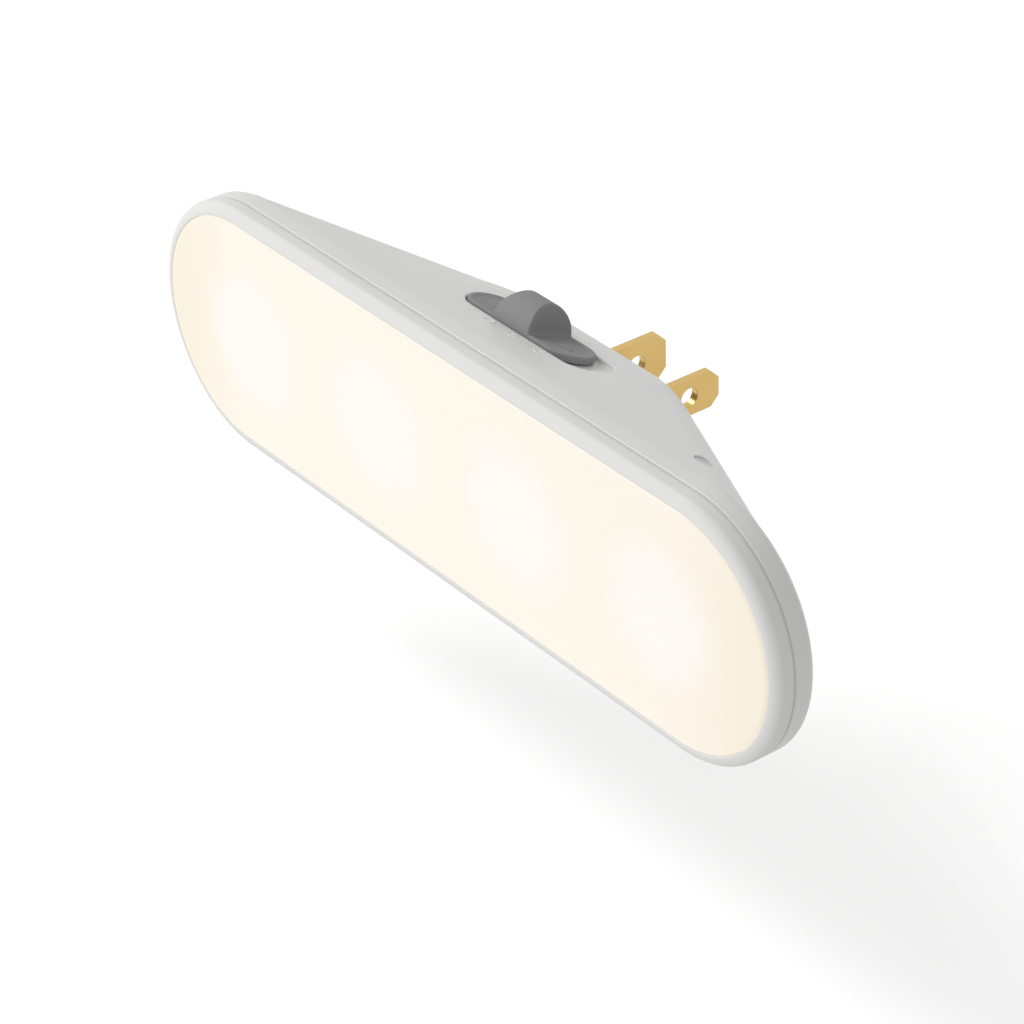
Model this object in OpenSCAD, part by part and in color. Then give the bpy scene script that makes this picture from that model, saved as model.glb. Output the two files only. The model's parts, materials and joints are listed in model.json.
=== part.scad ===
// Plug-in night light: a long oval lamp that hangs on its own plug blades
// The pieces are drawn on the bench, lens up, with z measured forward from the face that seats on
// the wall socket, y up the wall and x along the lamp. The last step turns the bench so that
// +Z is up, +Y goes into the wall and -Y is the lit front.

/* [Housing] */
// Length of the lamp over its front edge
housing_l = 150.4; // [140:0.2:166]
// Height of the lamp over its front edge
housing_h = 42.7; // [41:0.1:50]
// Depth from the seating face to the front of the lens
lamp_d = 29.5; // [29.3:0.1:32]
// Length of the flat back
back_l = 52; // [52:0.5:60]
// Height of the flat back
back_h = 24.6; // [24:0.2:28]
// Gap between the housing's back and the wall socket
back_gap = 0.8; // [0.5:0.1:1.4]
// How far the sloping faces bulge past a straight slope
crown = 0.45; // [0.3:0.05:0.8]
// Wall thickness of the housing
wall = 1.8; // [1.6:0.1:2]
// Depth of the upright band round the front of the housing
band_d = 2.8; // [2.4:0.1:3.4]

/* [Lens and ring] */
// Width of the ring seen from the front
ring_w = 2.05; // [1.9:0.05:2.4]
// Depth of the ring's rounded front corner
ring_corner = 1.65; // [1.2:0.05:1.8]
// Thickness of the ring's skirt
ring_t = 1.2; // [1.1:0.05:1.4]
// Height of the shadow groove between ring and housing
groove_h = 0.4; // [0.3:0.05:0.6]
// Depth of the shadow groove
groove_d = 0.6; // [0.4:0.05:0.8]
// Thickness of the lens face
lens_t = 1.6; // [1.2:0.1:1.9]
// Thickness of the lens skirt
lens_skirt_t = 1.45; // [1.2:0.05:1.8]

/* [Slider] */
// Travel of the slider between its outer stops
travel = 4; // [3.2:0.2:4.4]
// Distance of the slider's middle from the seating face
deck_z = 11.2; // [10.8:0.1:11.8]
// Length of the slider plate
plate_l = 26.1; // [24:0.1:28]
// Width of the slider plate
plate_w = 8.8; // [8.4:0.1:9.4]
// Thickness of the slider plate
plate_t = 1.15; // [1:0.05:1.3]
// Height of the slider plate above the housing
plate_up = 0.4; // [0.2:0.05:0.6]
// Height of the finger grip above the housing
grip_h = 4.85; // [4.6:0.05:5.4]
// Length of the grip at its foot
grip_foot_l = 8.6; // [8:0.1:9.2]
// Length of the grip at the middle of its crest
grip_top_l = 5.6; // [5:0.1:6.2]
// Depth of the hollow in each end of the grip
scoop_d = 1; // [0.6:0.1:1.2]

/* [Light source] */
// Number of light-emitting diodes
led_n = 4; // [3:1:4]
// Distance from the outer diodes to the ends of the lamp
led_end_in = 25.1; // [24:0.1:27]
// Side of a diode package
led_side = 5; // [3.5:0.5:5.5]
// Width of the diode board
led_board_w = 10; // [9:0.5:10]
// Thickness of the diode board
led_board_t = 1; // [0.8:0.1:1.2]

/* [Plug] */
// Distance between the two blades
blade_pitch = 12.7; // [12.6:0.05:12.8]
// Length of a blade from the seating face
blade_l = 17.5; // [15.9:0.1:18.2]
// Thickness of a blade
blade_t = 1.5; // [1.4:0.05:1.6]
// Width of the line blade
line_blade_w = 6.35; // [6.2:0.05:6.5]
// Width of the wider neutral blade
neutral_blade_w = 7.9; // [7.6:0.05:8]
// Diameter of the hole near a blade's tip
blade_hole_d = 3.2; // [3:0.1:3.5]

/* [Driver board] */
// Length of the driver board
board_l = 52; // [50:0.5:54]
// Height of the driver board
board_h = 20; // [19:0.5:20]
// Thickness of the driver board
board_t = 1.6; // [1.2:0.1:1.6]

/* [Light sensor] */
// Distance of the sensor port from the lamp's right-hand end
port_end_in = 29; // [28:0.2:31]
// Distance of the sensor port from the seating face
port_z = 17.8; // [17:0.1:18]
// Length of the sensor port
port_l = 3.4; // [3:0.1:4]
// Width of the sensor port
port_w = 2.8; // [2.4:0.1:3]

/* [Hidden] */

$fn = 64;
// Overrun of every cutting shape past the face that it cuts
over = 1;
// Clearance between a fixed piece and the pocket that it drops into
seat_gap = 0.1;
// Clearance round a moving piece
run_gap = 0.2;
// Clearance round a board, pin or tab in its hole
pin_gap = 0.2;

// Radius of the lamp's round ends at the front edge, and half the straight part between them
front_r = housing_h / 2;
front_s = housing_l / 2 - front_r;
// The same for the flat back
back_r = back_h / 2;
back_s = back_l / 2 - back_r;
// Heights above the seating face, from the front down
ring_tip_drop = 0.1;
ring_tip_z = lamp_d - ring_tip_drop;
ledge_drop = 1.5;
ledge_z = lamp_d - ledge_drop;
lens_flange_t = 1.2;
lip_z = ledge_z - lens_flange_t;
lip_rise = 0.9;
shoulder_z = lip_z - lip_rise;
band_z = shoulder_z - band_d;
slope_d = band_z - back_gap;
floor_in_z = back_gap + wall;
// Radius of the back's rounded edge
back_edge_r = 1.3;
// Share of the wall by which the inside corner under the band sits further forward
corner_share = 0.65;
corner_z = band_z + wall * corner_share;

// Radius and straight half length of the outside at a share t of the slope, from band to back
function out_r(t) = front_r + (back_r - front_r) * t + 4 * crown * t * (1 - t);
function out_s(t) = front_s + (back_s - front_s) * t;
function out_z(t) = band_z - slope_d * t;
// The inside follows it one wall in
function in_r(t) = out_r(t) - wall;
function in_z(t) = corner_z - (corner_z - floor_in_z) * t;

// Shares of the slope at which a ring of points stands
slope_shares = [0, 0.25, 0.5, 0.75];

// Lip that carries the lens and centres the ring
lip_w = 1.6;
lip_foot = 1;
lip_out_r = front_r - ring_t - seat_gap;
lip_in_r = lip_out_r - lip_w;
// Lens outline inside the ring
lens_r = front_r - ring_w - seat_gap;
lens_edge_r = 0.5;
// Ring
ring_rear_z = shoulder_z + groove_h;

// Diodes in a row between the ends of the lamp
led_pitch = (housing_l - 2 * led_end_in) / (led_n - 1);

// Reflector tray, and the diodes and their board behind its floor
tray_t = 1.2;
tray_floor_r = 11;
tray_floor_in = 7.85;
tray_floor_s = front_s - tray_floor_in;
tray_flange_w = 1.8;
tray_r = lip_in_r - seat_gap;
tray_mouth_r = tray_r - tray_flange_w + tray_t;
tray_top_z = lip_z - lip_rise + seat_gap;
tray_screw_x = led_pitch;
tray_screw_y = 7.8;
led_window_d = 8;
led_h = 1.4;
led_well_d = 3.8;
led_phosphor_t = 0.15;
led_board_end = 4;
led_board_l = (led_n - 1) * led_pitch + 2 * led_board_end;
led_board_back = 17;
tray_floor_z = led_board_back + led_board_t;
led_x = [for (i = [0:led_n - 1]) (i - (led_n - 1) / 2) * led_pitch];
led_screw_x = [-led_pitch / 2 - led_pitch / 4, 0, led_pitch / 2 + led_pitch / 4];

// Screws: shank, head and the hole that a shank cuts its thread in
screw_d = 2;
screw_hole_d = screw_d + seat_gap;
screw_head_d = 3.6;
screw_head_h = 1.2;
screw_cross_w = 0.5;
screw_cross_l = 2.2;
screw_cross_d = 0.6;
tray_screw_l = 7;
led_screw_l = 2.6;
board_screw_l = 5.2;
switch_screw_l = 2.8;
pillar_d = 4.4;
post_d = 4.4;

// Driver board on its posts, and the parts on its front
board_z = 6.8;
board_top = board_z + board_t;
board_screw_in = [4, 3.5];
board_screw_x = board_l / 2 - board_screw_in[0];
board_screw_y = board_h / 2 - board_screw_in[1];
cap_d = 8;
cap_l = 11;
cap_end_r = 0.6;
cap_bead_z = 1.8;
cap_at = [8.5, -5.4];
film_size = [13, 5, 7];
film_at = [-17, 0.6];
film_edge = 0.6;
bridge_size = [4.8, 3.9, 2.4];
bridge_at = [-13.5, -6.4];
chip_size = [4.9, 3.9, 1.5];
chip_at = [2.4, -6.2];
leg_w = 0.5;
leg_t = 0.25;
leg_out = 1.1;
choke_d = 7;
choke_core_d = 4;
choke_h = 6.4;
choke_cheek_t = 1;
choke_at = [17, 4.4];
fuse_d = 3;
fuse_l = 8;
fuse_at = [-13.5, 6.6];
fuse_up = 0.4;
wire_pin_d = 0.7;
resistor_size = [3.2, 1.6, 0.55];
resistor_n = 4;
resistor_at = [-2.6, 0];
resistor_pitch = 2.6;

// Plug carrier through the back of the housing
carrier_l = 24;
carrier_h = 16;
carrier_flange_w = 2.5;
carrier_flange_t = 1.8;
carrier_post_d = 3.6;
carrier_post_x = 11.8;
carrier_flange_z = floor_in_z + carrier_flange_t;
blade_tip_chamfer = 1.6;
blade_hole_from_tip = 5.8;
tab_w = 3;
tab_rise = 1.2;

// The slider's deck: its place on the slope, and the slope there
deck_t = (band_z - deck_z) / slope_d;
deck_y = out_r(deck_t);
deck_a = atan((front_r - back_r - 4 * crown * (1 - 2 * deck_t)) / slope_d);
recess_l = plate_l + travel + 2 * run_gap;
recess_w = plate_w + 2 * pin_gap;
recess_d = plate_t - plate_up + run_gap;
deck_floor_t = 1.5;
deck_under = recess_d + deck_floor_t;
deck_pad_l = recess_l + 2 * wall;
deck_pad_w = recess_w + 2 * wall;
stem_l = 5;
stem_w = 2.4;
stem_notch_h = 1.5;
clip_l = 8;
clip_w = 6;
clip_t = 1;
clip_w0 = deck_under + run_gap;
barb_l = 3.4;
barb_w = 0.3;
barb_h = 0.4;
dish_in = 0.7;
dish_d = 0.25;
arrow_l = 1.6;
arrow_w = 3;
arrow_line = 0.5;
arrow_from_end = 4.4;
// Lean of the grip's ends, and the radius of their hollows
grip_lean_a = 7.4;
scoop_r = (pow(plate_w / 2, 2) + pow(scoop_d, 2)) / (2 * scoop_d);
// Slide switch under the deck, hung from two bosses
boss_d = 3.8;
frame_drop = 3.2;
frame_top = deck_under + frame_drop;
frame_t = 0.4;
frame_w = 5.6;
frame_box_h = 4.2;
base_h = 4.2;
base_floor_t = 1.8;
lever_l = 1.8;
lever_w = 1.8;
lever_top_gap = 0.2;
lever_foot_l = 5.2;
lever_foot_w = 2.9;
lever_foot_t = 1.45;
wiper_l = 4.2;
wiper_w = 2.4;
wiper_t = 0.5;
base_top = frame_top + frame_t;
base_well_d = base_h - base_floor_t;
base_well_l = lever_foot_l + travel + 2 * pin_gap;
base_well_w = lever_foot_w + 2 * run_gap;
base_end_t = 1.3;
frame_box_l = base_well_l + 2 * base_end_t + 2 * frame_t;
frame_ear_l = 4.5;
frame_l = frame_box_l + 2 * frame_ear_l;
switch_screw_in = 2;
switch_screw_x = frame_l / 2 - switch_screw_in;
stem_bottom = clip_w0 + clip_t + stem_notch_h;
lever_top = stem_bottom - stem_notch_h + lever_top_gap;
terminal_pitch = 2.5;
terminal_n = 4;
terminal_w = 1;
terminal_t = 0.5;
terminal_out = 2;
terminal_x = [for (i = [0:terminal_n - 1]) (i - (terminal_n - 1) / 2) * terminal_pitch];

// Sensor port through the slope near the right-hand end
port_x = housing_l / 2 - port_end_in;
port_t = (band_z - port_z) / slope_d;
port_y = sqrt(pow(out_r(port_t), 2) - pow(port_x - out_s(port_t), 2));
port_turn = asin((port_x - out_s(port_t)) / out_r(port_t));
port_pad_l = 11;
port_pad_w = 7;
port_pad_d = 3;
port_slope_a = atan((front_r - back_r - 4 * crown * (1 - 2 * port_t)
    + (front_s - back_s) * sin(port_turn)) / slope_d);
window_sink = 0.9;
window_flange = 0.7;
window_flange_t = 0.5;
cell_d = 3.8;
cell_t = 1.5;
cell_lead_x = 1;
cell_z0 = port_pad_d + window_flange_t;

// Steps round each end of a drawn oval, and the points in its ring
end_steps = 32;
ring_m = 2 * (end_steps + 1);

// Wires inside the lamp
lead_d = 1.2;
thin_lead_d = 0.9;
lead_sides = 8;
lead_steps = 5;
led_lead_x = 6;
led_lead_y = -8.2;
led_lead_in = 3.4;
// How far inside the terminals' tips the switch's wires enter the board, and the share by which
// they spread on the way
switch_lead_in = 0.6;
switch_lead_share = 1.3;
// The photocell's two wires: how far apart they run, where they enter the board, and their stops,
// as shares of the way from the board's end to the port, of a pillar's width past its middle, and
// of the height between the two boards
cell_lead_side = 0.8;
cell_lead_end_in = 1.3;
cell_lead_y = 2.4;
cell_lead_out = 0.5;
cell_lead_shares = [[0.68, 1.05, 0.86], [0.386, 1.18, 0.63], [0.178, 0.61, 0.42], [0.02, -0.5, 0.28]];
// A direction that no wire runs along, to set out the rings of its skin
wire_ref = [0.31, 0.17, 0.94];

// Flat oval with round ends, from half its straight length and its end radius
module oval(s, r) {
    square([2 * s, 2 * r], center = true);
    for (k = [-1, 1]) translate([k * s, 0]) circle(r = r);
}

// Oval slab from height z up by h
module oval_slab(s, r, z, h) {
    translate([0, 0, z]) linear_extrude(h) oval(s, r);
}

// Carries a profile (distance from the middle line, height) round an oval track
module track(s) {
    for (k = [0, 1]) mirror([k, 0, 0]) translate([s, 0, 0]) rotate([0, 0, -90])
        rotate_extrude(angle = 180) children();
    for (k = [0, 1]) mirror([0, k, 0]) rotate([90, 0, 90])
        linear_extrude(2 * s, center = true) children();
}

// Stands children on the slope at the slider's deck: x along the lamp, y down the slope, z out
module on_deck() {
    translate([0, deck_y, deck_z]) rotate([-(90 + deck_a), 0, 0]) children();
}

// The same at the sensor port, turned to face square out of the round end
module on_port() {
    translate([port_x, port_y, port_z]) rotate([0, 0, -port_turn]) rotate([-(90 + port_slope_a), 0, 0])
        children();
}

// Flat pad of size d by w by h with its top at height z
module slab(l, w, z, h) {
    translate([-l / 2, -w / 2, z - h]) cube([l, w, h]);
}

// Cross-head screw: underside of the head at the origin, shank down
module screw(l) {
    translate([0, 0, -l]) cylinder(d = screw_d, h = l);
    difference() {
        cylinder(d = screw_head_d, h = screw_head_h);
        for (a = [0, 90]) rotate([0, 0, a])
            slab(screw_cross_l, screw_cross_w, screw_head_h + over, screw_cross_d + over);
    }
}

// Points of a smooth line through a wire's stops, straight at both ends
function blend(a, b, c, d, t) =
    0.5 * (2 * b + (c - a) * t + (2 * a - 5 * b + 4 * c - d) * t * t
        + (3 * b - a - 3 * c + d) * t * t * t);
function smooth(p) = let (n = len(p)) concat(
    [p[0]],
    [for (i = [1:n - 3]) for (j = [0:lead_steps - 1])
        blend(p[i - 1], p[i], p[i + 1], p[i + 2], j / lead_steps)],
    [p[n - 2], p[n - 1]]);
function unit(v) = v / norm(v);
function heading(p, i) = unit(p[min(i + 1, len(p) - 1)] - p[max(i - 1, 0)]);

// Closes a stack of rings, each of m points, into a solid
module skin(points, m) {
    n = len(points) / m;
    faces = concat(
        [[for (j = [0:m - 1]) j]],
        [[for (j = [m - 1:-1:0]) (n - 1) * m + j]],
        [for (i = [0:n - 2]) for (j = [0:m - 1]) let (k = (j + 1) % m) each [
            [i * m + j, (i + 1) * m + j, (i + 1) * m + k],
            [i * m + j, (i + 1) * m + k, i * m + k]]]);
    polyhedron(points, faces);
}

// Round wire along its stops
module wire(route, d) {
    p = smooth(route);
    m = lead_sides;
    skin([for (i = [0:len(p) - 1])
        let (t = heading(p, i), a = unit(cross(t, wire_ref)), b = cross(t, a))
        for (j = [0:m - 1]) p[i] + d / 2 * (a * cos(360 * j / m) + b * sin(360 * j / m))], m);
}

// Points of an oval at height z
function oval_ring(s, r, z) = [for (k = [0, 1]) for (i = [0:end_steps])
    let (a = -90 + 180 * i / end_steps + 180 * k) [(1 - 2 * k) * s + r * cos(a), r * sin(a), z]];

// Outside of the housing as one block, its back edge rounded
module housing_block() {
    stations = concat(slope_shares, [1 - back_edge_r / slope_d]);
    skin([
        for (a = [0:30:60]) each oval_ring(back_s, back_r - back_edge_r * (1 - sin(a)),
            back_gap + back_edge_r * (1 - cos(a)) * (1 - sin(a) / 2)),
        for (i = [len(stations) - 1:-1:0]) let (t = stations[i]) each oval_ring(out_s(t), out_r(t), out_z(t)),
        each oval_ring(front_s, front_r, shoulder_z)], ring_m);
}

// Room inside the housing
module housing_room() {
    skin([
        each oval_ring(out_s(1), in_r(1), in_z(1)),
        for (i = [len(slope_shares) - 1:-1:0]) let (t = slope_shares[i]) each oval_ring(out_s(t), in_r(t), in_z(t)),
        each oval_ring(front_s, front_r - wall, shoulder_z + over)], ring_m);
}

// Pillars, posts and pads moulded inside the housing
module housing_supports() {
    for (x = [-tray_screw_x, tray_screw_x], y = [-tray_screw_y, tray_screw_y])
        translate([x, y, 0]) cylinder(d = pillar_d, h = tray_floor_z);
    for (x = [-board_screw_x, board_screw_x], y = [-board_screw_y, board_screw_y])
        translate([x, y, 0]) cylinder(d = post_d, h = board_z);
    on_deck() {
        slab(deck_pad_l, deck_pad_w, over, deck_under + over);
        for (x = [-switch_screw_x, switch_screw_x])
            translate([x, 0, -frame_top]) cylinder(d = boss_d, h = frame_top);
    }
    on_port() slab(port_pad_l, port_pad_w, over, port_pad_d + over);
}

module rear_housing() {
    color("whitesmoke") difference() {
        union() {
            difference() {
                housing_block();
                housing_room();
            }
            intersection() {
                housing_block();
                housing_supports();
            }
            difference() {
                oval_slab(front_s, lip_out_r, shoulder_z - lip_foot, lip_z - shoulder_z + lip_foot);
                oval_slab(front_s, lip_in_r, shoulder_z - lip_foot - over,
                    lip_z - shoulder_z + lip_foot + 2 * over);
            }
        }
        // Opening for the plug carrier
        oval_slab(carrier_l / 2 - carrier_h / 2, carrier_h / 2 + seat_gap, -over, floor_in_z + 2 * over);
        // Screw holes
        for (x = [-tray_screw_x, tray_screw_x], y = [-tray_screw_y, tray_screw_y])
            translate([x, y, tray_floor_z - tray_screw_l]) cylinder(d = screw_hole_d, h = tray_screw_l + over);
        for (x = [-board_screw_x, board_screw_x], y = [-board_screw_y, board_screw_y])
            translate([x, y, board_top - board_screw_l]) cylinder(d = screw_hole_d, h = board_screw_l);
        // Slider recess, the slot for its stem, and the switch screws' holes
        on_deck() {
            translate([0, 0, -recess_d])
                linear_extrude(recess_d + 2 * over) oval(recess_l / 2 - recess_w / 2, recess_w / 2);
            slab(stem_l + travel + 2 * pin_gap, stem_w + 2 * pin_gap, over, deck_under + 2 * over);
            for (x = [-switch_screw_x, switch_screw_x])
                translate([x, 0, -frame_top - over]) cylinder(d = screw_hole_d, h = switch_screw_l + over);
        }
        // Sensor port
        on_port() translate([0, 0, -port_pad_d - over])
            linear_extrude(port_pad_d + 2 * over) oval(port_l / 2 - port_w / 2, port_w / 2);
    }
}

module front_ring() {
    color("white") track(front_s) polygon(concat(
        [for (a = [0:10:90]) [front_r - ring_w * (1 - sin(a)), ring_tip_z - ring_corner * (1 - cos(a))]],
        [[front_r, ring_rear_z],
         [front_r - groove_d, ring_rear_z],
         [front_r - groove_d, shoulder_z],
         [front_r - ring_t, shoulder_z],
         [front_r - ring_t, ledge_z],
         [front_r - ring_w, ledge_z]]));
}

module diffuser_lens() {
    inner_z = lamp_d - lens_t;
    color("cornsilk") track(front_s) polygon(concat(
        [[0, inner_z], [0, lamp_d]],
        [for (a = [0:15:90]) [lens_r - lens_edge_r * (1 - sin(a)), lamp_d - lens_edge_r * (1 - cos(a))]],
        [[lens_r, ledge_z],
         [lip_out_r, ledge_z],
         [lip_out_r, lip_z],
         [lens_r - lens_skirt_t, lip_z],
         [lens_r - lens_skirt_t, inner_z]]));
}

// Tapered trough of the tray, grown or shrunk by g, between two heights
module tray_trough(g, z, top) {
    skin([
        each oval_ring(tray_floor_s, tray_floor_r + g, z),
        each oval_ring(front_s, tray_mouth_r + g, top)], ring_m);
}

module reflector_tray() {
    color("ghostwhite") difference() {
        union() {
            tray_trough(0, tray_floor_z, tray_top_z);
            oval_slab(front_s, tray_r, tray_top_z - tray_t, tray_t);
        }
        tray_trough(-tray_t, tray_floor_z + tray_t, tray_top_z + over);
        for (x = led_x) translate([x, 0, tray_floor_z - over])
            cylinder(d = led_window_d, h = tray_t + 2 * over);
        for (x = [-tray_screw_x, tray_screw_x], y = [-tray_screw_y, tray_screw_y])
            translate([x, y, tray_floor_z - over]) cylinder(d = screw_d + 2 * pin_gap, h = tray_t + 2 * over);
        for (x = led_screw_x) translate([x, 0, tray_floor_z - over])
            cylinder(d = screw_hole_d, h = tray_t + 2 * over);
    }
}

module tray_screws() {
    color("silver") for (x = [-tray_screw_x, tray_screw_x], y = [-tray_screw_y, tray_screw_y])
        translate([x, y, tray_floor_z + tray_t]) screw(tray_screw_l);
}

module led_board() {
    color("gainsboro") difference() {
        slab(led_board_l, led_board_w, led_board_back + led_board_t, led_board_t);
        for (x = led_screw_x) translate([x, 0, led_board_back - over])
            cylinder(d = screw_d + 2 * pin_gap, h = led_board_t + 2 * over);
    }
}

module led_packages() {
    color("white") for (x = led_x) translate([x, 0, 0]) difference() {
        slab(led_side, led_side, tray_floor_z + led_h, led_h);
        translate([0, 0, tray_floor_z + led_h - led_phosphor_t])
            cylinder(d = led_well_d, h = led_phosphor_t + over);
    }
}

module led_phosphors() {
    color("gold") for (x = led_x) translate([x, 0, tray_floor_z + led_h - led_phosphor_t])
        cylinder(d = led_well_d, h = led_phosphor_t);
}

module led_board_screws() {
    color("silver") for (x = led_screw_x) translate([x, 0, led_board_back])
        mirror([0, 0, 1]) screw(led_screw_l);
}

// Cross-section of a blade's slot at one side of the plug
module blade_slot(x, w) {
    translate([x, 0]) square([blade_t, w], center = true);
}

module plug_carrier() {
    s = carrier_l / 2 - carrier_h / 2;
    color("whitesmoke") difference() {
        union() {
            oval_slab(s, carrier_h / 2, 0, floor_in_z);
            oval_slab(s, carrier_h / 2 + carrier_flange_w, floor_in_z, carrier_flange_t);
            for (x = [-carrier_post_x, carrier_post_x])
                translate([x, 0, floor_in_z]) cylinder(d = carrier_post_d, h = board_z - floor_in_z);
        }
        translate([0, 0, -over]) linear_extrude(carrier_flange_z + 2 * over) {
            blade_slot(blade_pitch / 2, line_blade_w);
            blade_slot(-blade_pitch / 2, neutral_blade_w);
        }
    }
}

// One blade: a flat strip with a chamfered tip and a hole, and a narrow tab through the board
module blade(x, w) {
    c = blade_tip_chamfer;
    rotate([0, -90, 0]) translate([0, 0, -x - blade_t / 2]) linear_extrude(blade_t) difference() {
        union() {
            polygon([[-blade_l, -w / 2 + c], [-blade_l + c, -w / 2], [carrier_flange_z, -w / 2],
                [carrier_flange_z, w / 2], [-blade_l + c, w / 2], [-blade_l, w / 2 - c]]);
            translate([0, -tab_w / 2]) square([board_top + tab_rise, tab_w]);
        }
        translate([-blade_l + blade_hole_from_tip, 0]) circle(d = blade_hole_d);
    }
}

module line_blade() {
    color("goldenrod") blade(blade_pitch / 2, line_blade_w);
}

module neutral_blade() {
    color("goldenrod") blade(-blade_pitch / 2, neutral_blade_w);
}

module driver_board() {
    color("seagreen") difference() {
        slab(board_l, board_h, board_top, board_t);
        for (x = [-board_screw_x, board_screw_x], y = [-board_screw_y, board_screw_y])
            translate([x, y, board_z - over]) cylinder(d = screw_d + 2 * pin_gap, h = board_t + 2 * over);
        for (x = [-blade_pitch / 2, blade_pitch / 2]) translate([x, 0, 0])
            slab(blade_t + 2 * pin_gap, tab_w + 2 * pin_gap, board_top + over, board_t + 2 * over);
    }
}

module driver_board_screws() {
    color("silver") for (x = [-board_screw_x, board_screw_x], y = [-board_screw_y, board_screw_y])
        translate([x, y, board_top]) screw(board_screw_l);
}

module film_capacitor() {
    l = film_size[0] / 2;
    h = film_size[2];
    e = film_edge;
    color("gold") translate([film_at[0], film_at[1], board_top]) rotate([90, 0, 0])
        linear_extrude(film_size[1], center = true)
            polygon([[-l, 0], [l, 0], [l, h - e], [l - e, h], [-l + e, h], [-l, h - e]]);
}

module electrolytic_capacitor() {
    r = cap_d / 2;
    e = cap_end_r;
    color("midnightblue") translate([cap_at[0], cap_at[1], board_top + r]) rotate([0, 90, 0])
        rotate_extrude() polygon([
            [0, 0], [r - e, 0], [r, e], [r, cap_bead_z - e / 2], [r - e / 2, cap_bead_z],
            [r, cap_bead_z + e / 2], [r, cap_l - e], [r - e, cap_l], [0, cap_l]]);
}

// Moulded chip with n gull-wing legs a side
module chip(size, n) {
    translate([0, 0, leg_t]) slab(size[0], size[1], size[2] - leg_t, size[2] - leg_t);
    for (k = [0, 1], i = [0:n - 1]) rotate([0, 0, 180 * k])
        translate([(i - (n - 1) / 2) * size[0] / n, size[1] / 2 + leg_out / 2, leg_t * 2])
            slab(leg_w, leg_out, 0, leg_t * 2);
}

module bridge_rectifier() {
    color("dimgray") translate([bridge_at[0], bridge_at[1], board_top]) chip(bridge_size, 2);
}

module driver_chip() {
    color("dimgray") translate([chip_at[0], chip_at[1], board_top]) chip(chip_size, 4);
}

module choke_core() {
    color("dimgray") translate([choke_at[0], choke_at[1], board_top]) {
        cylinder(d = choke_d, h = choke_cheek_t);
        cylinder(d = choke_core_d, h = choke_h);
        translate([0, 0, choke_h - choke_cheek_t]) cylinder(d = choke_d, h = choke_cheek_t);
    }
}

module choke_winding() {
    color("peru") translate([choke_at[0], choke_at[1], board_top + choke_cheek_t]) difference() {
        cylinder(d = choke_d - choke_cheek_t, h = choke_h - 2 * choke_cheek_t);
        translate([0, 0, -over]) cylinder(d = choke_core_d, h = choke_h + 2 * over);
    }
}

module fusible_resistor() {
    z = fuse_d / 2 + fuse_up;
    color("darkseagreen") translate([fuse_at[0], fuse_at[1], board_top]) {
        translate([-fuse_l / 2, 0, z]) rotate([0, 90, 0]) cylinder(d = fuse_d, h = fuse_l);
        for (k = [-1, 1]) translate([k * (fuse_l / 2 + wire_pin_d), 0, 0]) {
            cylinder(d = wire_pin_d, h = z);
            translate([0, 0, z]) sphere(d = wire_pin_d);
            translate([0, 0, z]) rotate([0, -90 * k, 0]) cylinder(d = wire_pin_d, h = 2 * wire_pin_d);
        }
    }
}

module chip_resistors() {
    color("dimgray") for (i = [0:resistor_n - 1])
        translate([resistor_at[0], resistor_at[1] + (i - resistor_n + 1) * resistor_pitch, board_top])
            slab(resistor_size[0], resistor_size[1], resistor_size[2], resistor_size[2]);
}

// Wire from the driver board forward to the diode board
module led_lead(k) {
    wire([
        [k * led_lead_x, led_lead_y, board_top],
        [k * led_lead_x, led_lead_y, board_top + 2 * lead_d],
        [k * led_lead_x, led_lead_y, (board_top + led_board_back) / 2],
        [k * led_lead_x, -led_lead_in, led_board_back - 2 * lead_d],
        [k * led_lead_x, -led_lead_in, led_board_back]], lead_d);
}

module positive_led_lead() {
    color("firebrick") led_lead(1);
}

module negative_led_lead() {
    color("black") led_lead(-1);
}

module switch_frame() {
    color("silver") on_deck() difference() {
        union() {
            slab(frame_l, frame_w, -frame_top, frame_t);
            slab(frame_box_l, frame_w, -frame_top, frame_box_h);
        }
        slab(frame_box_l - 2 * frame_t, frame_w - 2 * frame_t, -base_top, frame_box_h);
        slab(lever_l + travel + 2 * pin_gap, lever_w + 2 * pin_gap, -frame_top + over, frame_t + 2 * over);
        for (x = [-switch_screw_x, switch_screw_x])
            translate([x, 0, -base_top - over]) cylinder(d = screw_d + 2 * pin_gap, h = frame_t + 2 * over);
    }
}

// The switch's contact blades, as pockets in its base and as metal
module terminal_bars() {
    for (x = terminal_x) translate([x, 0, 0])
        slab(terminal_w, terminal_t, -base_top - base_well_d, base_floor_t + terminal_out);
}

module switch_base() {
    color("saddlebrown") on_deck() difference() {
        slab(frame_box_l - 2 * frame_t, frame_w - 2 * frame_t, -base_top, base_h);
        slab(base_well_l, base_well_w, -base_top + over, base_well_d + over);
        terminal_bars();
    }
}

module switch_terminals() {
    color("silver") on_deck() terminal_bars();
}

module switch_screws() {
    color("silver") on_deck() for (x = [-switch_screw_x, switch_screw_x])
        translate([x, 0, -base_top]) mirror([0, 0, 1]) screw(switch_screw_l);
}

// Place on the bench of a point (x, y, z) given on the deck
function deck_point(p) = let (c = cos(-(90 + deck_a)), s = sin(-(90 + deck_a)))
    [p[0], deck_y + p[1] * c - p[2] * s, deck_z + p[1] * s + p[2] * c];

// Wire from terminal i down to the driver board
module switch_lead(i) {
    x = terminal_x[i];
    tip = base_top + base_h + terminal_out;
    y = deck_point([0, 0, -tip])[1] - switch_lead_in;
    board_x = x * switch_lead_share;
    wire([
        deck_point([x, 0, -tip]),
        deck_point([x, 0, -tip - thin_lead_d / 2]),
        [(x + board_x) / 2, y, (board_top + led_board_back) / 2],
        [board_x, y, board_top + thin_lead_d],
        [board_x, y, board_top]], thin_lead_d);
}

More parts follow.
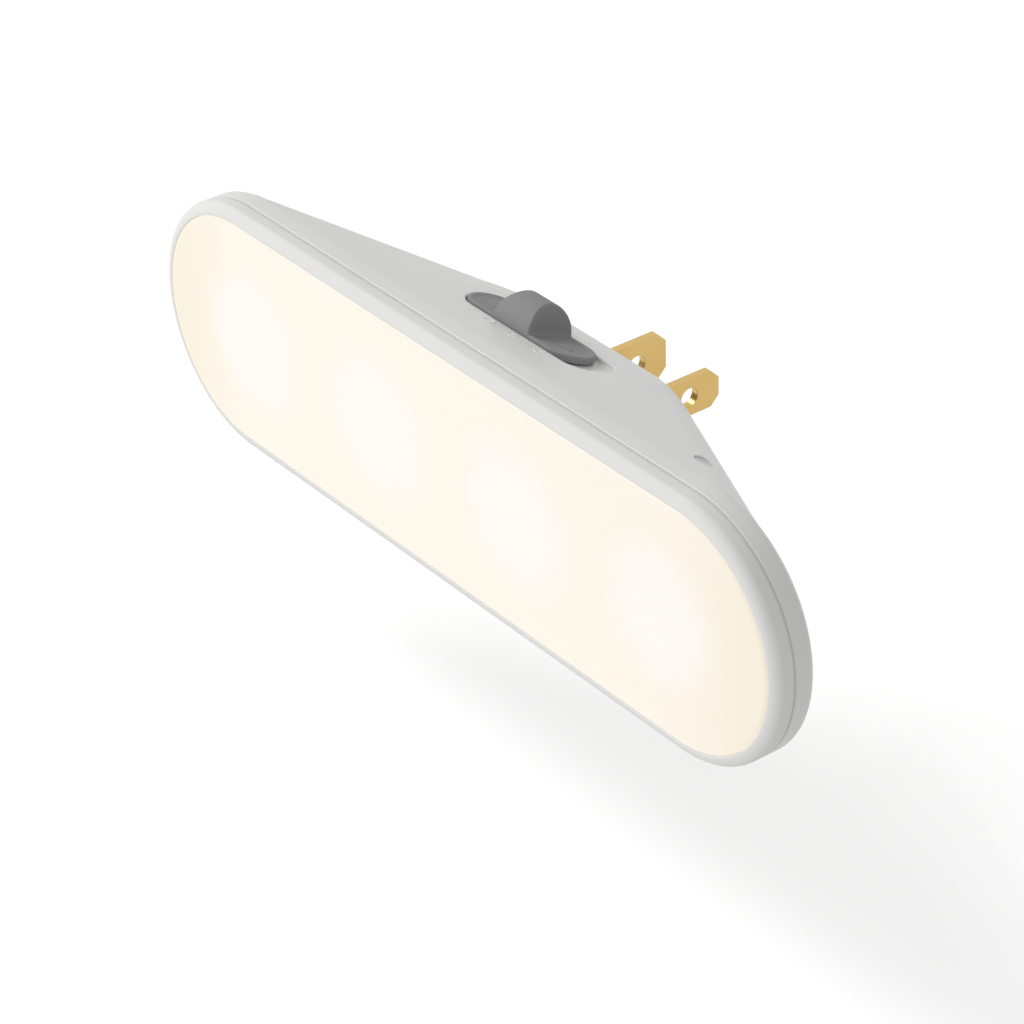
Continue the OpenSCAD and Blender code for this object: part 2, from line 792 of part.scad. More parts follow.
module switch_lead_common() {
    color("gray") switch_lead(1);
}

module switch_lead_on() {
    color("white") switch_lead(0);
}

module switch_lead_auto() {
    color("gold") switch_lead(3);
}

module sensor_window() {
    s = port_l / 2 - port_w / 2;
    color("lightgray") on_port() {
        translate([0, 0, -port_pad_d])
            linear_extrude(port_pad_d - window_sink) oval(s, port_w / 2 - seat_gap);
        translate([0, 0, -cell_z0]) linear_extrude(window_flange_t) oval(s, port_w / 2 + window_flange);
    }
}

module photocell() {
    color("tan") on_port() translate([0, 0, -cell_z0 - cell_t]) cylinder(d = cell_d, h = cell_t);
}

// Place on the bench of a point (x, y, z) given at the sensor port
function port_point(p) = let (c = cos(-(90 + port_slope_a)), s = sin(-(90 + port_slope_a)),
    q = [p[0], p[1] * c - p[2] * s, p[1] * s + p[2] * c], d = cos(-port_turn), e = sin(-port_turn))
    [port_x + q[0] * d - q[1] * e, port_y + q[0] * e + q[1] * d, port_z + q[2]];

// Wire from the photocell along the housing's wall to the driver board
module photocell_lead(k) {
    down = cell_z0 + cell_t;
    side = -cell_lead_side * k;
    x0 = board_l / 2;
    end = [x0 - cell_lead_end_in, cell_lead_y + side, board_top];
    wire(concat(
        [port_point([k * cell_lead_x, cell_lead_out, -down]),
         port_point([k * cell_lead_x, cell_lead_out, -down - thin_lead_d])],
        [for (q = cell_lead_shares) [
            x0 + (port_x - x0) * q[0] - side,
            tray_screw_y + pillar_d * q[1] + side,
            board_top + (led_board_back - board_top) * q[2]]],
        [end + [0, 0, thin_lead_d], end]), thin_lead_d);
}

module photocell_lead_a() {
    color("gray") photocell_lead(-1);
}

module photocell_lead_b() {
    color("gray") photocell_lead(1);
}

// Moves children to where the slider rests, at its left-hand stop
module on_slider() {
    on_deck() translate([-travel / 2, 0, 0]) children();
}

// Outline of the grip from the end: a half round on short legs
module grip_end() {
    r = plate_w / 2;
    rise = grip_h - r;
    translate([0, rise]) circle(r = r);
    translate([-r, plate_up - plate_t / 2]) square([2 * r, rise - plate_up + plate_t / 2]);
}

// Raised grip: rounded along its crest, with a leaning hollow in each end for the finger
module grip() {
    difference() {
        intersection() {
            rotate([90, 0, 90]) linear_extrude(grip_foot_l, center = true) grip_end();
            slab(plate_l, 2 * plate_w, grip_h, grip_h - plate_up + plate_t / 2);
        }
        for (k = [0, 1]) mirror([k, 0, 0]) translate([grip_top_l / 2, 0, grip_h]) rotate([0, -grip_lean_a, 0])
            translate([scoop_r, 0, -2 * grip_h]) cylinder(r = scoop_r, h = 3 * grip_h);
    }
}

// Open arrow that points along +x
module arrow() {
    h = arrow_w / 2;
    k = arrow_line;
    polygon([[0, h], [k, h], [arrow_l, 0], [k, -h], [0, -h], [arrow_l - k, 0]]);
}

module slider_knob() {
    s = plate_l / 2 - plate_w / 2;
    color("darkgray") on_slider() difference() {
        union() {
            difference() {
                translate([0, 0, plate_up - plate_t]) linear_extrude(plate_t) oval(s, plate_w / 2);
                translate([0, 0, plate_up - dish_d]) linear_extrude(dish_d + over) oval(s, plate_w / 2 - dish_in);
            }
            for (k = [0, 1]) mirror([k, 0, 0]) translate([plate_l / 2 - arrow_from_end, 0, plate_up - 2 * dish_d])
                linear_extrude(2 * dish_d) arrow();
            grip();
            slab(stem_l, stem_w, plate_up - plate_t / 2, plate_up - plate_t / 2 + stem_bottom);
            slab(barb_l, stem_w + 2 * barb_w, -clip_w0 - clip_t, barb_h);
        }
        slab(lever_l + 2 * run_gap, stem_w + 2 * over, -stem_bottom + stem_notch_h, stem_notch_h + over);
    }
}

module slider_clip() {
    color("white") on_slider() difference() {
        slab(clip_l, clip_w, -clip_w0, clip_t);
        slab(stem_l, stem_w, -clip_w0 + over, clip_t + 2 * over);
    }
}

module switch_lever() {
    color("black") on_slider() {
        slab(lever_l, lever_w, -lever_top, base_top + run_gap - lever_top);
        slab(lever_foot_l, lever_foot_w, -base_top - run_gap, lever_foot_t);
    }
}

module switch_wiper() {
    color("goldenrod") on_slider()
        slab(wiper_l, wiper_w, -base_top - run_gap - lever_foot_t, wiper_t);
}

// Turns the bench so that the lamp stands as it hangs on the wall
module hung() {
    rotate([90, 0, 0]) children();
}

hung() rear_housing();
hung() front_ring();
hung() diffuser_lens();
hung() reflector_tray();
hung() tray_screws();
hung() led_board();
hung() led_packages();
hung() led_phosphors();
hung() led_board_screws();
hung() plug_carrier();
hung() line_blade();
hung() neutral_blade();
hung() driver_board();
hung() driver_board_screws();
hung() film_capacitor();
hung() electrolytic_capacitor();
hung() bridge_rectifier();
hung() driver_chip();
hung() choke_core();
hung() choke_winding();
hung() fusible_resistor();
hung() chip_resistors();
hung() positive_led_lead();
hung() negative_led_lead();
hung() switch_frame();
hung() switch_base();
hung() switch_terminals();
hung() switch_screws();
hung() switch_lead_common();
hung() switch_lead_on();
hung() switch_lead_auto();
hung() sensor_window();
hung() photocell();
hung() photocell_lead_a();
hung() photocell_lead_b();
hung() slider_knob();
hung() slider_clip();
hung() switch_lever();
hung() switch_wiper();
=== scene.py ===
"""Looks for the plug-in night light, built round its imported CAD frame.

Shapes are worked out on the bench: x runs along the lamp, y upwards and z forward from the plug's
seating face, in millimetres. One function turns a bench point into the frame's metres.
"""
import json
import logging
import math
from dataclasses import dataclass, field
from enum import Enum
from functools import partial

import bmesh
import bpy
import numpy as np
from mathutils import Matrix


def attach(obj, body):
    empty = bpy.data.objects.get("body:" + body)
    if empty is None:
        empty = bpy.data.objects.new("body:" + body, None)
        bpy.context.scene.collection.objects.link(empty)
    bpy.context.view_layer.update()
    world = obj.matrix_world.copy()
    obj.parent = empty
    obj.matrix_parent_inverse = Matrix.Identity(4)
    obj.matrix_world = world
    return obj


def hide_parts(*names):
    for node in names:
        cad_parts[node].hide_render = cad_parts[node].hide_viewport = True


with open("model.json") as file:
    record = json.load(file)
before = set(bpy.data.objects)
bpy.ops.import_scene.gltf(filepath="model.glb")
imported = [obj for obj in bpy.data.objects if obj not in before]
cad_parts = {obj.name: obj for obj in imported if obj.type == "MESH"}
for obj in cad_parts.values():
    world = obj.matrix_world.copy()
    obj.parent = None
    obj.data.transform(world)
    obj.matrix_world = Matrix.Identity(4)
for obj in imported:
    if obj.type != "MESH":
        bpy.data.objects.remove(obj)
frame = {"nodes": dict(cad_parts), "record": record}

log = logging.getLogger("night_light")
MM = 0.001
QUARTER = np.pi / 2
BODY = "lamp_body"
SLIDER = "slider"
# Rows this close to a rounding or a corner keep the flat beside them flat when it is shaded
HOLD = 0.15
TIGHT = 0.1
# Shares of the way from a block's edge to a hole's rim, closer together near the rim
SPREAD = (0.3, 0.55, 0.75, 0.9, 1.0)
# The Mix node's colour sockets, which share their names with its sockets for numbers
MIX_A, MIX_B, MIX_OUT = 6, 7, 2


class Slot(Enum):
    """Material slots of the record, named for the new pieces' finishes."""
    HOUSING = "housing_plastic"
    RING = "ring_plastic"
    LENS = "opal_lens"
    KNOB = "slider_plastic"
    BLADE = "blade_brass"
    WINDOW = "clear_window"


class Mark(Enum):
    """Raised marks in front of the slider, one for each of its stops."""
    OFF = "off"
    DIM = "dim"
    BRIGHT = "bright"


def to_frame(points: np.ndarray) -> np.ndarray:
    """Turns bench millimetres (x, y, z) into frame metres (x, -z, y) / 1000.

    Args:
        points: array of shape (n, 3).

    Returns:
        Array of shape (n, 3).
    """
    return np.stack([points[:, 0], -points[:, 2], points[:, 1]], axis=1) * MM


def to_linear(code: str) -> tuple[float, float, float, float]:
    """Turns an sRGB hex code into a linear colour.

    Args:
        code: six hex digits after a hash sign.

    Returns:
        Linear red, green, blue and an alpha of 1.
    """
    parts = np.array([int(code[i:i + 2], 16) / 255 for i in (1, 3, 5)])
    red, green, blue = np.where(parts <= 0.04045, parts / 12.92, ((parts + 0.055) / 1.055) ** 2.4)
    return float(red), float(green), float(blue), 1.0


def fill(node: bpy.types.Node, settings: dict, links: dict | None = None) -> None:
    """Gives a node its settings and incoming links.

    Args:
        node: the node.
        settings: attribute names, or input names or numbers, with the value that each gets.
        links: input names or numbers, with the output socket that feeds each.
    """
    for key, value in settings.items():
        if isinstance(key, str) and hasattr(node, key):
            setattr(node, key, value)
        else:
            node.inputs[key].default_value = value
    for key, socket in (links or {}).items():
        node.id_data.links.new(socket, node.inputs[key])


def add_node(tree: bpy.types.NodeTree, kind: str, settings: dict | None = None,
             links: dict | None = None) -> bpy.types.Node:
    """Adds a node with its settings and incoming links.

    Args:
        tree: the node tree that takes it.
        kind: the node's type name, without the ShaderNode that each starts with.
        settings: as for fill.
        links: as for fill.

    Returns:
        The new node.
    """
    made = tree.nodes.new("ShaderNode" + kind)
    fill(made, settings or {}, links)
    return made


def new_material(name: str) -> tuple[bpy.types.Material, bpy.types.Node, partial]:
    """Starts a material.

    Args:
        name: what it is called.

    Returns:
        The material, its shader, and add_node for its tree.
    """
    made = bpy.data.materials.new(name)
    made.use_nodes = True
    return made, made.node_tree.nodes["Principled BSDF"], partial(add_node, made.node_tree)


@dataclass(frozen=True)
class Finish:
    """A finish with a fine relief and a slight drift of tone and gloss over the surface."""
    name: str
    colour: str
    shade: str
    roughness: float = 0.4
    gloss_drift: float = 0.06
    ior: float = 1.5
    metallic: float = 0.0
    grain_mm: float = 0.35
    relief_mm: float = 0.004
    drift_mm: float = 18.0
    stretch: tuple[float, float, float] = (1.0, 1.0, 1.0)
    relief_share: float = 0.6

    def coat(self, shader: bpy.types.Node) -> None:
        """Sets what a finish has beyond colour, gloss and relief; the plain one has nothing."""

    def make(self) -> bpy.types.Material:
        """Builds the material's nodes.

        Returns:
            The material.
        """
        made, shader, add = new_material(self.name)
        place = add("TexCoord").outputs["Object"]
        turned = add("Mapping", {"Scale": self.stretch}, {"Vector": place}).outputs[0]
        drift, grain = (add("TexNoise", {"Scale": 1 / (size * MM), "Detail": detail},
                            {"Vector": turned}).outputs["Fac"]
                        for size, detail in ((self.drift_mm, 3.0), (self.grain_mm, 2.0)))
        tone = add("Mix", {"data_type": "RGBA", MIX_A: to_linear(self.colour), MIX_B: to_linear(self.shade)},
                   {0: drift})
        gloss = add("MapRange", {"To Min": self.roughness - self.gloss_drift,
                                 "To Max": self.roughness + self.gloss_drift}, {0: grain})
        bump = add("Bump", {"Strength": self.relief_share, "Distance": self.relief_mm * MM},
                   {"Height": grain})
        fill(shader, {"IOR": self.ior, "Metallic": self.metallic},
             {"Base Color": tone.outputs[MIX_OUT], "Roughness": gloss.outputs[0], "Normal": bump.outputs[0]})
        self.coat(shader)
        return made


@dataclass(frozen=True)
class LacqueredFinish(Finish):
    """A finish under a clear coat, such as solder mask or a dipped part."""
    coat_weight: float = 0.5
    coat_roughness: float = 0.12

    def coat(self, shader: bpy.types.Node) -> None:
        """Lays the clear coat on."""
        fill(shader, {"Coat Weight": self.coat_weight, "Coat Roughness": self.coat_roughness})


@dataclass(frozen=True)
class ClearFinish(Finish):
    """A moulded clear or tinted plastic that light passes through."""
    clearness: float = 0.9

    def coat(self, shader: bpy.types.Node) -> None:
        """Lets light through."""
        fill(shader, {"Transmission Weight": self.clearness})


@dataclass(frozen=True)
class LensGlowPaintedFinish(Finish):
    """A white plastic with a painted glow beside the lens: emission that stands in for the lens's light
    falling on the ring.
    """
    glow: str = "#fff1dc"
    strength: float = 0.06
    straight_mm: float = 53.85
    from_mm: float = 19.2
    to_mm: float = 21.0

    def coat(self, shader: bpy.types.Node) -> None:
        """Adds the painted glow: all of it at from_mm off the oval's middle line, none at to_mm."""
        add = partial(add_node, shader.id_data)
        split = add("SeparateXYZ", {}, {0: add("TexCoord").outputs["Object"]})
        along = add("Math", {"operation": "ABSOLUTE"}, {0: split.outputs[0]})
        past = add("Math", {"operation": "SUBTRACT", 1: self.straight_mm * MM}, {0: along.outputs[0]})
        over = add("Math", {"operation": "MAXIMUM", 1: 0.0}, {0: past.outputs[0]})
        flat = add("CombineXYZ", {}, {0: over.outputs[0], 2: split.outputs[2]})
        off = add("VectorMath", {"operation": "LENGTH"}, {0: flat.outputs[0]})
        share = add("MapRange", {"From Min": self.from_mm * MM, "From Max": self.to_mm * MM,
                                 "To Min": self.strength, "To Max": 0.0}, {0: off.outputs["Value"]})
        # Painted glow: emission on the ring that stands in for the lens's light falling on it
        fill(shader, {"Emission Color": to_linear(self.glow)}, {"Emission Strength": share.outputs[0]})


@dataclass(frozen=True)
class LitOpal:
    """Opal polycarbonate lit from behind: each diode shows as a soft pale pool in a warm glow."""
    name: str = "opal_polycarbonate_lit"
    body: str = "#85817a"
    glow: str = "#dad3c9"
    pool: str = "#dad6d4"
    edge: str = "#d4cbb8"
    pool_mm: tuple[float, ...] = (14.5, 15.0, 15.0, 14.0)
    pool_core: float = 0.4
    edge_from_mm: float = 48.0
    edge_to_mm: float = 73.0
    roughness: float = 0.32
    ior: float = 1.58

    def make(self, diodes_mm: tuple[float, ...]) -> bpy.types.Material:
        """Builds the lit material.

        A pool's share at distance d from a diode is smooth(1 - d / reach), and the pools add up.

        Args:
            diodes_mm: the x of each diode, on the lens's middle line.

        Returns:
            The material.
        """
        made, shader, add = new_material(self.name)
        place = add("TexCoord").outputs["Object"]
        flat = add("VectorMath", {"operation": "MULTIPLY", 1: (1, 0, 1)}, {0: place}).outputs[0]
        soft, total = {"interpolation_type": "SMOOTHSTEP"}, None
        for x, reach in zip(diodes_mm, self.pool_mm):
            away = add("VectorMath", {"operation": "DISTANCE", 1: (x * MM, 0, 0)}, {0: flat})
            share = add("MapRange", soft | {"From Min": self.pool_core * reach * MM, "From Max": reach * MM,
                                            "To Min": 1.0, "To Max": 0.0},
                        {0: away.outputs["Value"]}).outputs[0]
            total = share if total is None else add(
                "Math", {"operation": "ADD", "use_clamp": True}, {0: total, 1: share}).outputs[0]
        split = add("SeparateXYZ", {}, {0: place})
        along = add("Math", {"operation": "ABSOLUTE"}, {0: split.outputs[0]})
        rim = add("MapRange", soft | {"From Min": self.edge_from_mm * MM, "From Max": self.edge_to_mm * MM},
                  {0: along.outputs[0]})
        warm = add("Mix", {"data_type": "RGBA", MIX_A: to_linear(self.glow), MIX_B: to_linear(self.edge)},
                   {0: rim.outputs[0]})
        tone = add("Mix", {"data_type": "RGBA", MIX_B: to_linear(self.pool)},
                   {0: total, MIX_A: warm.outputs[MIX_OUT]})
        fill(shader, {"Emission Strength": 1.0, "Base Color": to_linear(self.body),
                      "Roughness": self.roughness, "IOR": self.ior},
             {"Emission Color": tone.outputs[MIX_OUT]})
        return made


# Satin moulded plastic: a fine spark-eroded grain, drawn at a third of a millimetre so that it shows
HOUSING_ABS = Finish("abs_satin_moulded_white", "#e6e6e5", "#e1e1e0", 0.42, 0.05, 1.54)
# The ring is painted brighter beside the lit lens: a painted glow, emission that stands in for the lens's
# light spilling onto it
RING_ABS = LensGlowPaintedFinish("abs_satin_white_painted_lens_glow", "#e7e7e6", "#e3e3e2", 0.58, 0.05, 1.54,
                         relief_mm=0.002)
# The marks are polished in the mould, so they catch the light a little more than the housing
MARK_ABS = Finish("abs_raised_mark_white", "#eeeeed", "#e9e9e8", 0.36, 0.05, 1.54, relief_mm=0.002)
# The slider is moulded rougher than the housing, which leaves only a broad dull sheen on the grip
KNOB_ABS = Finish("abs_satin_moulded_grey", "#929293", "#8d8d8e", 0.8, 0.05, 1.49)
# The plug's face is a harder plastic with a slightly sharper sheen than the housing
PLUG_ABS = Finish("polycarbonate_satin_white", "#e3e3e1", "#dcdcda", 0.4, 0.06, 1.58)
# Blades are punched from rolled strip, so their grain runs along them
BLADE_BRASS = Finish("brass_rolled_strip", "#d8b978", "#c9a765", 0.26, 0.07, 1.5, 1.0, 0.5, 0.002, 9.0,
                     (1.0, 0.08, 1.0))
# The window is frosted, so the port reads pale, with only a hint of the sensor behind it
WINDOW_PC = ClearFinish("polycarbonate_frosted_window", "#d9dbdd", "#d1d3d5", 0.4, 0.04, 1.58,
                        relief_mm=0.001, clearness=0.15)
INNER_FINISHES: dict[str, Finish] = {
    # Matt moulded plastics scatter the light and show no glint
    "reflector_plastic": Finish("abs_matte_reflector_white", "#f1f1ef", "#ebebe9", 0.6, 0.05, 1.54),
    "clip_plastic": Finish("acetal_natural_white", "#e9e9e4", "#e0e0da", 0.35, 0.05, 1.48),
    "lever_plastic": Finish("acetal_black", "#242426", "#1b1b1d", 0.38, 0.06, 1.48),
    "led_body": Finish("polyamide_white_package", "#f0efe9", "#e8e7e0", 0.35, 0.04, 1.53, grain_mm=0.15),
    "moulded_epoxy": Finish("epoxy_moulded_black", "#26262a", "#1d1d20", 0.62, 0.08, 1.55,
                            grain_mm=0.12),
    # Plated, tinned and rolled metals have soft glints, with a drift of tone along the strip
    "zinc_screw": Finish("zinc_plated_steel", "#c3c2bd", "#aeb0ae", 0.32, 0.08, 1.5, 1.0, 0.2, 0.003, 2.0),
    "switch_steel": Finish("tinned_steel_pressing", "#c6c7c6", "#b2b4b4", 0.3, 0.08, 1.5, 1.0, 0.25,
                           0.003, 4.0),
    "contact_bronze": Finish("phosphor_bronze_strip", "#c99a63", "#b98a55", 0.26, 0.07, 1.5, 1.0, 0.3,
                             0.002, 4.0),
    # Boards and dipped parts lie under a thin glossy coat
    "board_aluminium": LacqueredFinish("aluminium_white_lacquer", "#e4e5e3", "#dcdedc", 0.4, 0.05, 1.5),
    "circuit_board": LacqueredFinish("glass_epoxy_green_mask", "#1d5a35", "#174c2c", 0.45, 0.06, 1.5,
                                     grain_mm=0.6, drift_mm=4.0),
    "film_capacitor_case": LacqueredFinish("polyester_dipped_yellow", "#d8ad2a", "#cb9f20", 0.4, 0.05),
    "capacitor_sleeve": LacqueredFinish("pet_sleeve_dark_blue", "#1a2140", "#141a34", 0.35, 0.05, 1.57),
    "resistor_lacquer": LacqueredFinish("lacquer_grey_green", "#6f8f7c", "#65836f", 0.4, 0.06),
    "sensor_ceramic": LacqueredFinish("ceramic_sensor_tan", "#c79a72", "#b5855c", 0.5, 0.06, 1.6),
    # Silicone with phosphor in it looks waxy and deep yellow
    "led_phosphor": LacqueredFinish("silicone_phosphor_yellow", "#ecc84a", "#e2b838", 0.5, 0.05, 1.41),
    # Turns of enamelled wire show as fine glossy ribs round the core
    "copper_wire": LacqueredFinish("copper_enamelled_wire", "#b8683a", "#a3562c", 0.3, 0.08, 1.5, 1.0,
                                   0.3, 0.03, 3.0, (0.1, 1.0, 0.1)),
    # Sintered and pressed stuffs are dull, with a visible grain
    "ferrite": Finish("ferrite_sintered_grey", "#3a3a3d", "#2c2c2f", 0.7, 0.08, 2.0, grain_mm=0.25,
                      relief_mm=0.01),
    "switch_phenolic": Finish("phenolic_board_brown", "#5b3826", "#4c2d1d", 0.55, 0.08, 1.6,
                              grain_mm=0.3),
}
# Soft wire covering has a faint sheen and a slightly uneven skin
INNER_FINISHES |= {
    f"{tone}_insulation": Finish(f"pvc_insulation_{tone}", colour, shade, 0.42, 0.06, 1.53, relief_mm=0.006)
    for tone, colour, shade in (("red", "#b3312b", "#a62a25"), ("black", "#232325", "#1b1b1d"),
                                ("grey", "#8d8e90", "#838486"), ("white", "#e6e6e2", "#dcdcd8"),
                                ("yellow", "#d9b93a", "#cdac2f"))}


def smooth(k: np.ndarray) -> np.ndarray:
    """Smooth step: k k (3 - 2 k), with k held between 0 and 1."""
    k = np.clip(k, 0, 1)
    return k * k * (3 - 2 * k)


def quarter(n: int) -> tuple[np.ndarray, np.ndarray]:
    """Quarter turn in n steps: 1 - cos and 1 - sin of each angle."""
    k = np.linspace(0, QUARTER, n)
    return 1 - np.cos(k), 1 - np.sin(k)


def steps(*stops: tuple[float, float, int]) -> np.ndarray:
    """Joins even runs of numbers, each given as (from, to, how many), without their last."""
    return np.concatenate([np.linspace(a, b, n, endpoint=False) for a, b, n in stops])


def corner(a: tuple, b: tuple, c: tuple, n: int) -> list[np.ndarray]:
    """Rounds a corner: a (1-k)^2 + 2 b k (1-k) + c k^2 for k from 0 to 1.

    Args:
        a: profile point where the rounding starts.
        b: the sharp corner.
        c: profile point where it ends.
        n: number of points.

    Returns:
        The rounding's points.
    """
    k = np.linspace(0, 1, n)[:, None]
    return list(np.array(a) * (1 - k) ** 2 + 2 * np.array(b) * k * (1 - k) + np.array(c) * k ** 2)


def stadium(p: np.ndarray, s: np.ndarray, r: np.ndarray) -> tuple[np.ndarray, np.ndarray]:
    """Walks round an oval: along the top, round the right end, back along the foot, round the left end.

    On a straight, x = (2 p - 1) s and y = r; on an end, x = s + r cos a and y = r sin a.

    Args:
        p: place on the walk, 0 to 4, one unit for each of the four stretches.
        s: half the straight length.
        r: radius of the ends.

    Returns:
        x and y, of the arguments' common shape.
    """
    p, s, r = np.broadcast_arrays(np.asarray(p, float), s, r)
    turn = np.where(p < 2.5, QUARTER - np.pi * (p - 1), -QUARTER - np.pi * (p - 3))
    stretch = [p <= 1, p <= 2, p <= 3]
    x = np.select(stretch, [s * (2 * p - 1), s + r * np.cos(turn), s * (5 - 2 * p)], -s + r * np.cos(turn))
    y = np.select(stretch, [r, r * np.sin(turn), -r], r * np.sin(turn))
    return x, y


def grid_quads(rows: int, cols: int, closed: bool = True, around: bool = True) -> np.ndarray:
    """Quads of a grid of points.

    Args:
        rows: number of rows.
        cols: number of points in a row.
        closed: whether the last row joins the first.
        around: whether the last point of a row joins its first.

    Returns:
        Array (rows or rows - 1, cols or cols - 1, 4) of point numbers.
    """
    i, j = np.meshgrid(np.arange(rows if closed else rows - 1), np.arange(cols if around else cols - 1),
                       indexing="ij")
    i2, j2 = (i + 1) % rows, (j + 1) % cols
    return np.stack([i * cols + j, i * cols + j2, i2 * cols + j2, i2 * cols + j], axis=-1)


def sweep(rows: list | np.ndarray, s: float, walk: np.ndarray, closed: bool = False
          ) -> tuple[np.ndarray, np.ndarray]:
    """Carries a profile of (radius, height) rows round an oval.

    Args:
        rows: the profile.
        s: half the oval's straight length.
        walk: places on the walk round the oval.
        closed: whether the last row joins the first.

    Returns:
        Points (x, y, height), row after row, and quads.
    """
    rows = np.array(rows)
    x, y = stadium(walk[None, :], s, rows[:, 0:1])
    points = np.stack([x, y, np.broadcast_to(rows[:, 1:2], x.shape)], axis=-1).reshape(-1, 3)
    return points, grid_quads(len(rows), len(walk), closed).reshape(-1, 4)


def nearest_oval(a: np.ndarray, b: np.ndarray, half_l: float, r: float, grow: float = 0.0
                 ) -> tuple[np.ndarray, np.ndarray]:
    """Finds the point of an oval nearest to each plan point: (c, 0) + (r + grow) d, c on the middle line.

    Args:
        a: distances across.
        b: distances down.
        half_l: half the oval's length.
        r: radius of its ends.
        grow: how far outside the oval the answer lies.

    Returns:
        Distances across and down of the answers.
    """
    c = np.clip(a, -(half_l - r), half_l - r)
    away = np.stack([a - c, b])
    away = away / np.linalg.norm(away, axis=0)
    return c + away[0] * (r + grow), away[1] * (r + grow)


def put(name: str, data: bpy.types.ID) -> bpy.types.Object:
    """Makes an object of a mesh, a lamp or a camera and links it to the scene."""
    made = bpy.data.objects.new(name, data)
    bpy.context.scene.collection.objects.link(made)
    return made


def weld(mesh: bpy.types.Mesh, near_mm: float, flat_deg: float = 0.0) -> None:
    """Joins a mesh's coinciding points, and its triangles that lie flat.

    Args:
        mesh: the mesh.
        near_mm: points nearer than this are joined.
        flat_deg: faces that meet at less than this become one; 0 leaves the faces alone.
    """
    work = bmesh.new()
    work.from_mesh(mesh)
    bmesh.ops.remove_doubles(work, verts=work.verts, dist=near_mm * MM)
    if flat_deg:
        bmesh.ops.dissolve_limit(work, angle_limit=math.radians(flat_deg), verts=work.verts,
                                 edges=work.edges)
        bmesh.ops.recalc_face_normals(work, faces=work.faces)
    work.to_mesh(mesh)
    work.free()


def shade(mesh: bpy.types.Mesh, sharp_deg: float) -> None:
    """Shades a mesh smooth, apart from the edges that bend more than sharp_deg."""
    mesh.shade_smooth()
    mesh.set_sharp_from_angle(angle=math.radians(sharp_deg))


def make_piece(name: str, points: np.ndarray, faces: list | np.ndarray, merge: bool = False,
               sharp_deg: float = 40.0, near_mm: float = 0.001) -> bpy.types.Object:
    """Makes a mesh object from bench points, its faces turned outwards.

    Args:
        name: the piece's name.
        points: bench points in millimetres.
        faces: lists of point numbers.
        merge: whether coinciding points are joined, as where an oval closes on its middle line.
        sharp_deg: edges that bend more than this stay crisp.
        near_mm: points nearer than this coincide.

    Returns:
        The object, linked to the scene.
    """
    place = to_frame(points)
    faces = [list(map(int, f)) for f in faces]
    fans = np.array([(f[0], f[k], f[k + 1]) for f in faces for k in range(1, len(f) - 1)])
    a, b, c = (place[fans[:, k]] for k in range(3))
    if np.einsum("ij,ij->", a, np.cross(b, c)) < 0:
        faces = [f[::-1] for f in faces]
    mesh = bpy.data.meshes.new(name)
    mesh.from_pydata(place.tolist(), [], faces)
    if merge:
        weld(mesh, near_mm)
    mesh.validate()
    shade(mesh, sharp_deg)
    return put(name, mesh)


def settle(piece: bpy.types.Object, body: str, slot: Slot, material: bpy.types.Material,
           *stands_for: str) -> None:
    """Gives a piece its body and its material, and hides the CAD nodes that it stands for.

    Args:
        piece: the piece.
        body: the body that it rides on.
        slot: the record's slot that its finish belongs to; not used.
        material: the finish.
        stands_for: the nodes that it replaces.
    """
    piece.data.materials.clear()
    piece.data.materials.append(material)
    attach(piece, body)
    if stands_for:
        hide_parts(*stands_for)
    log.info("piece %s rides on %s: %d faces", piece.name, body, len(piece.data.polygons))


@dataclass(frozen=True)
class Seat:
    """A flat place on the housing's slope: where it is, and its directions across, down and out."""
    origin: np.ndarray
    across: np.ndarray
    down: np.ndarray
    out: np.ndarray

    def plan(self, points: np.ndarray) -> tuple[np.ndarray, np.ndarray]:
        """Gives the across and down distances of bench points."""
        return (points - self.origin) @ self.across, (points - self.origin) @ self.down

    def lift(self, a: np.ndarray, b: np.ndarray, h: np.ndarray | float) -> np.ndarray:
        """Gives bench points from distances across, down and out."""
        return self.origin + np.outer(a, self.across) + np.outer(b, self.down) \
            + np.outer(np.broadcast_to(h, np.shape(a)), self.out)

    @staticmethod
    def at(x: float, y: float, z: float, turn_deg: float, slope_deg: float) -> "Seat":
        """Makes a seat turned about the forward axis and tipped back with the slope.

        Args:
            x: bench x of its middle.
            y: bench y of its middle.
            z: bench z of its middle.
            turn_deg: turn towards the lamp's end.
            slope_deg: how far the slope leans from upright.

        Returns:
            The seat.
        """
        t, a = math.radians(turn_deg), math.radians(slope_deg)
        sin_t, cos_t, sin_a, cos_a = math.sin(t), math.cos(t), math.sin(a), math.cos(a)
        return Seat(np.array([x, y, z]), np.array([cos_t, -sin_t, 0.0]),
                    np.array([-sin_a * sin_t, -sin_a * cos_t, -cos_a]),
                    np.array([cos_a * sin_t, cos_a * cos_t, -sin_a]))


@dataclass(frozen=True)
class Hole:
    """An oval hole in the slope, let into a block of it: slope shares and walk places, each from and to."""
    seat: Seat
    half_l: float
    r: float
    depth: float
    rim: float
    reach: float
    block: tuple[float, float, float, float]

    def inside(self) -> list[tuple[float, float, float, float]]:
        """Lists the rings inside as (half length, radius, growth, depth): the wall, then the pad behind."""
        return [(self.half_l, self.r, grow, self.depth) for grow in (0.0, TIGHT, self.reach)]


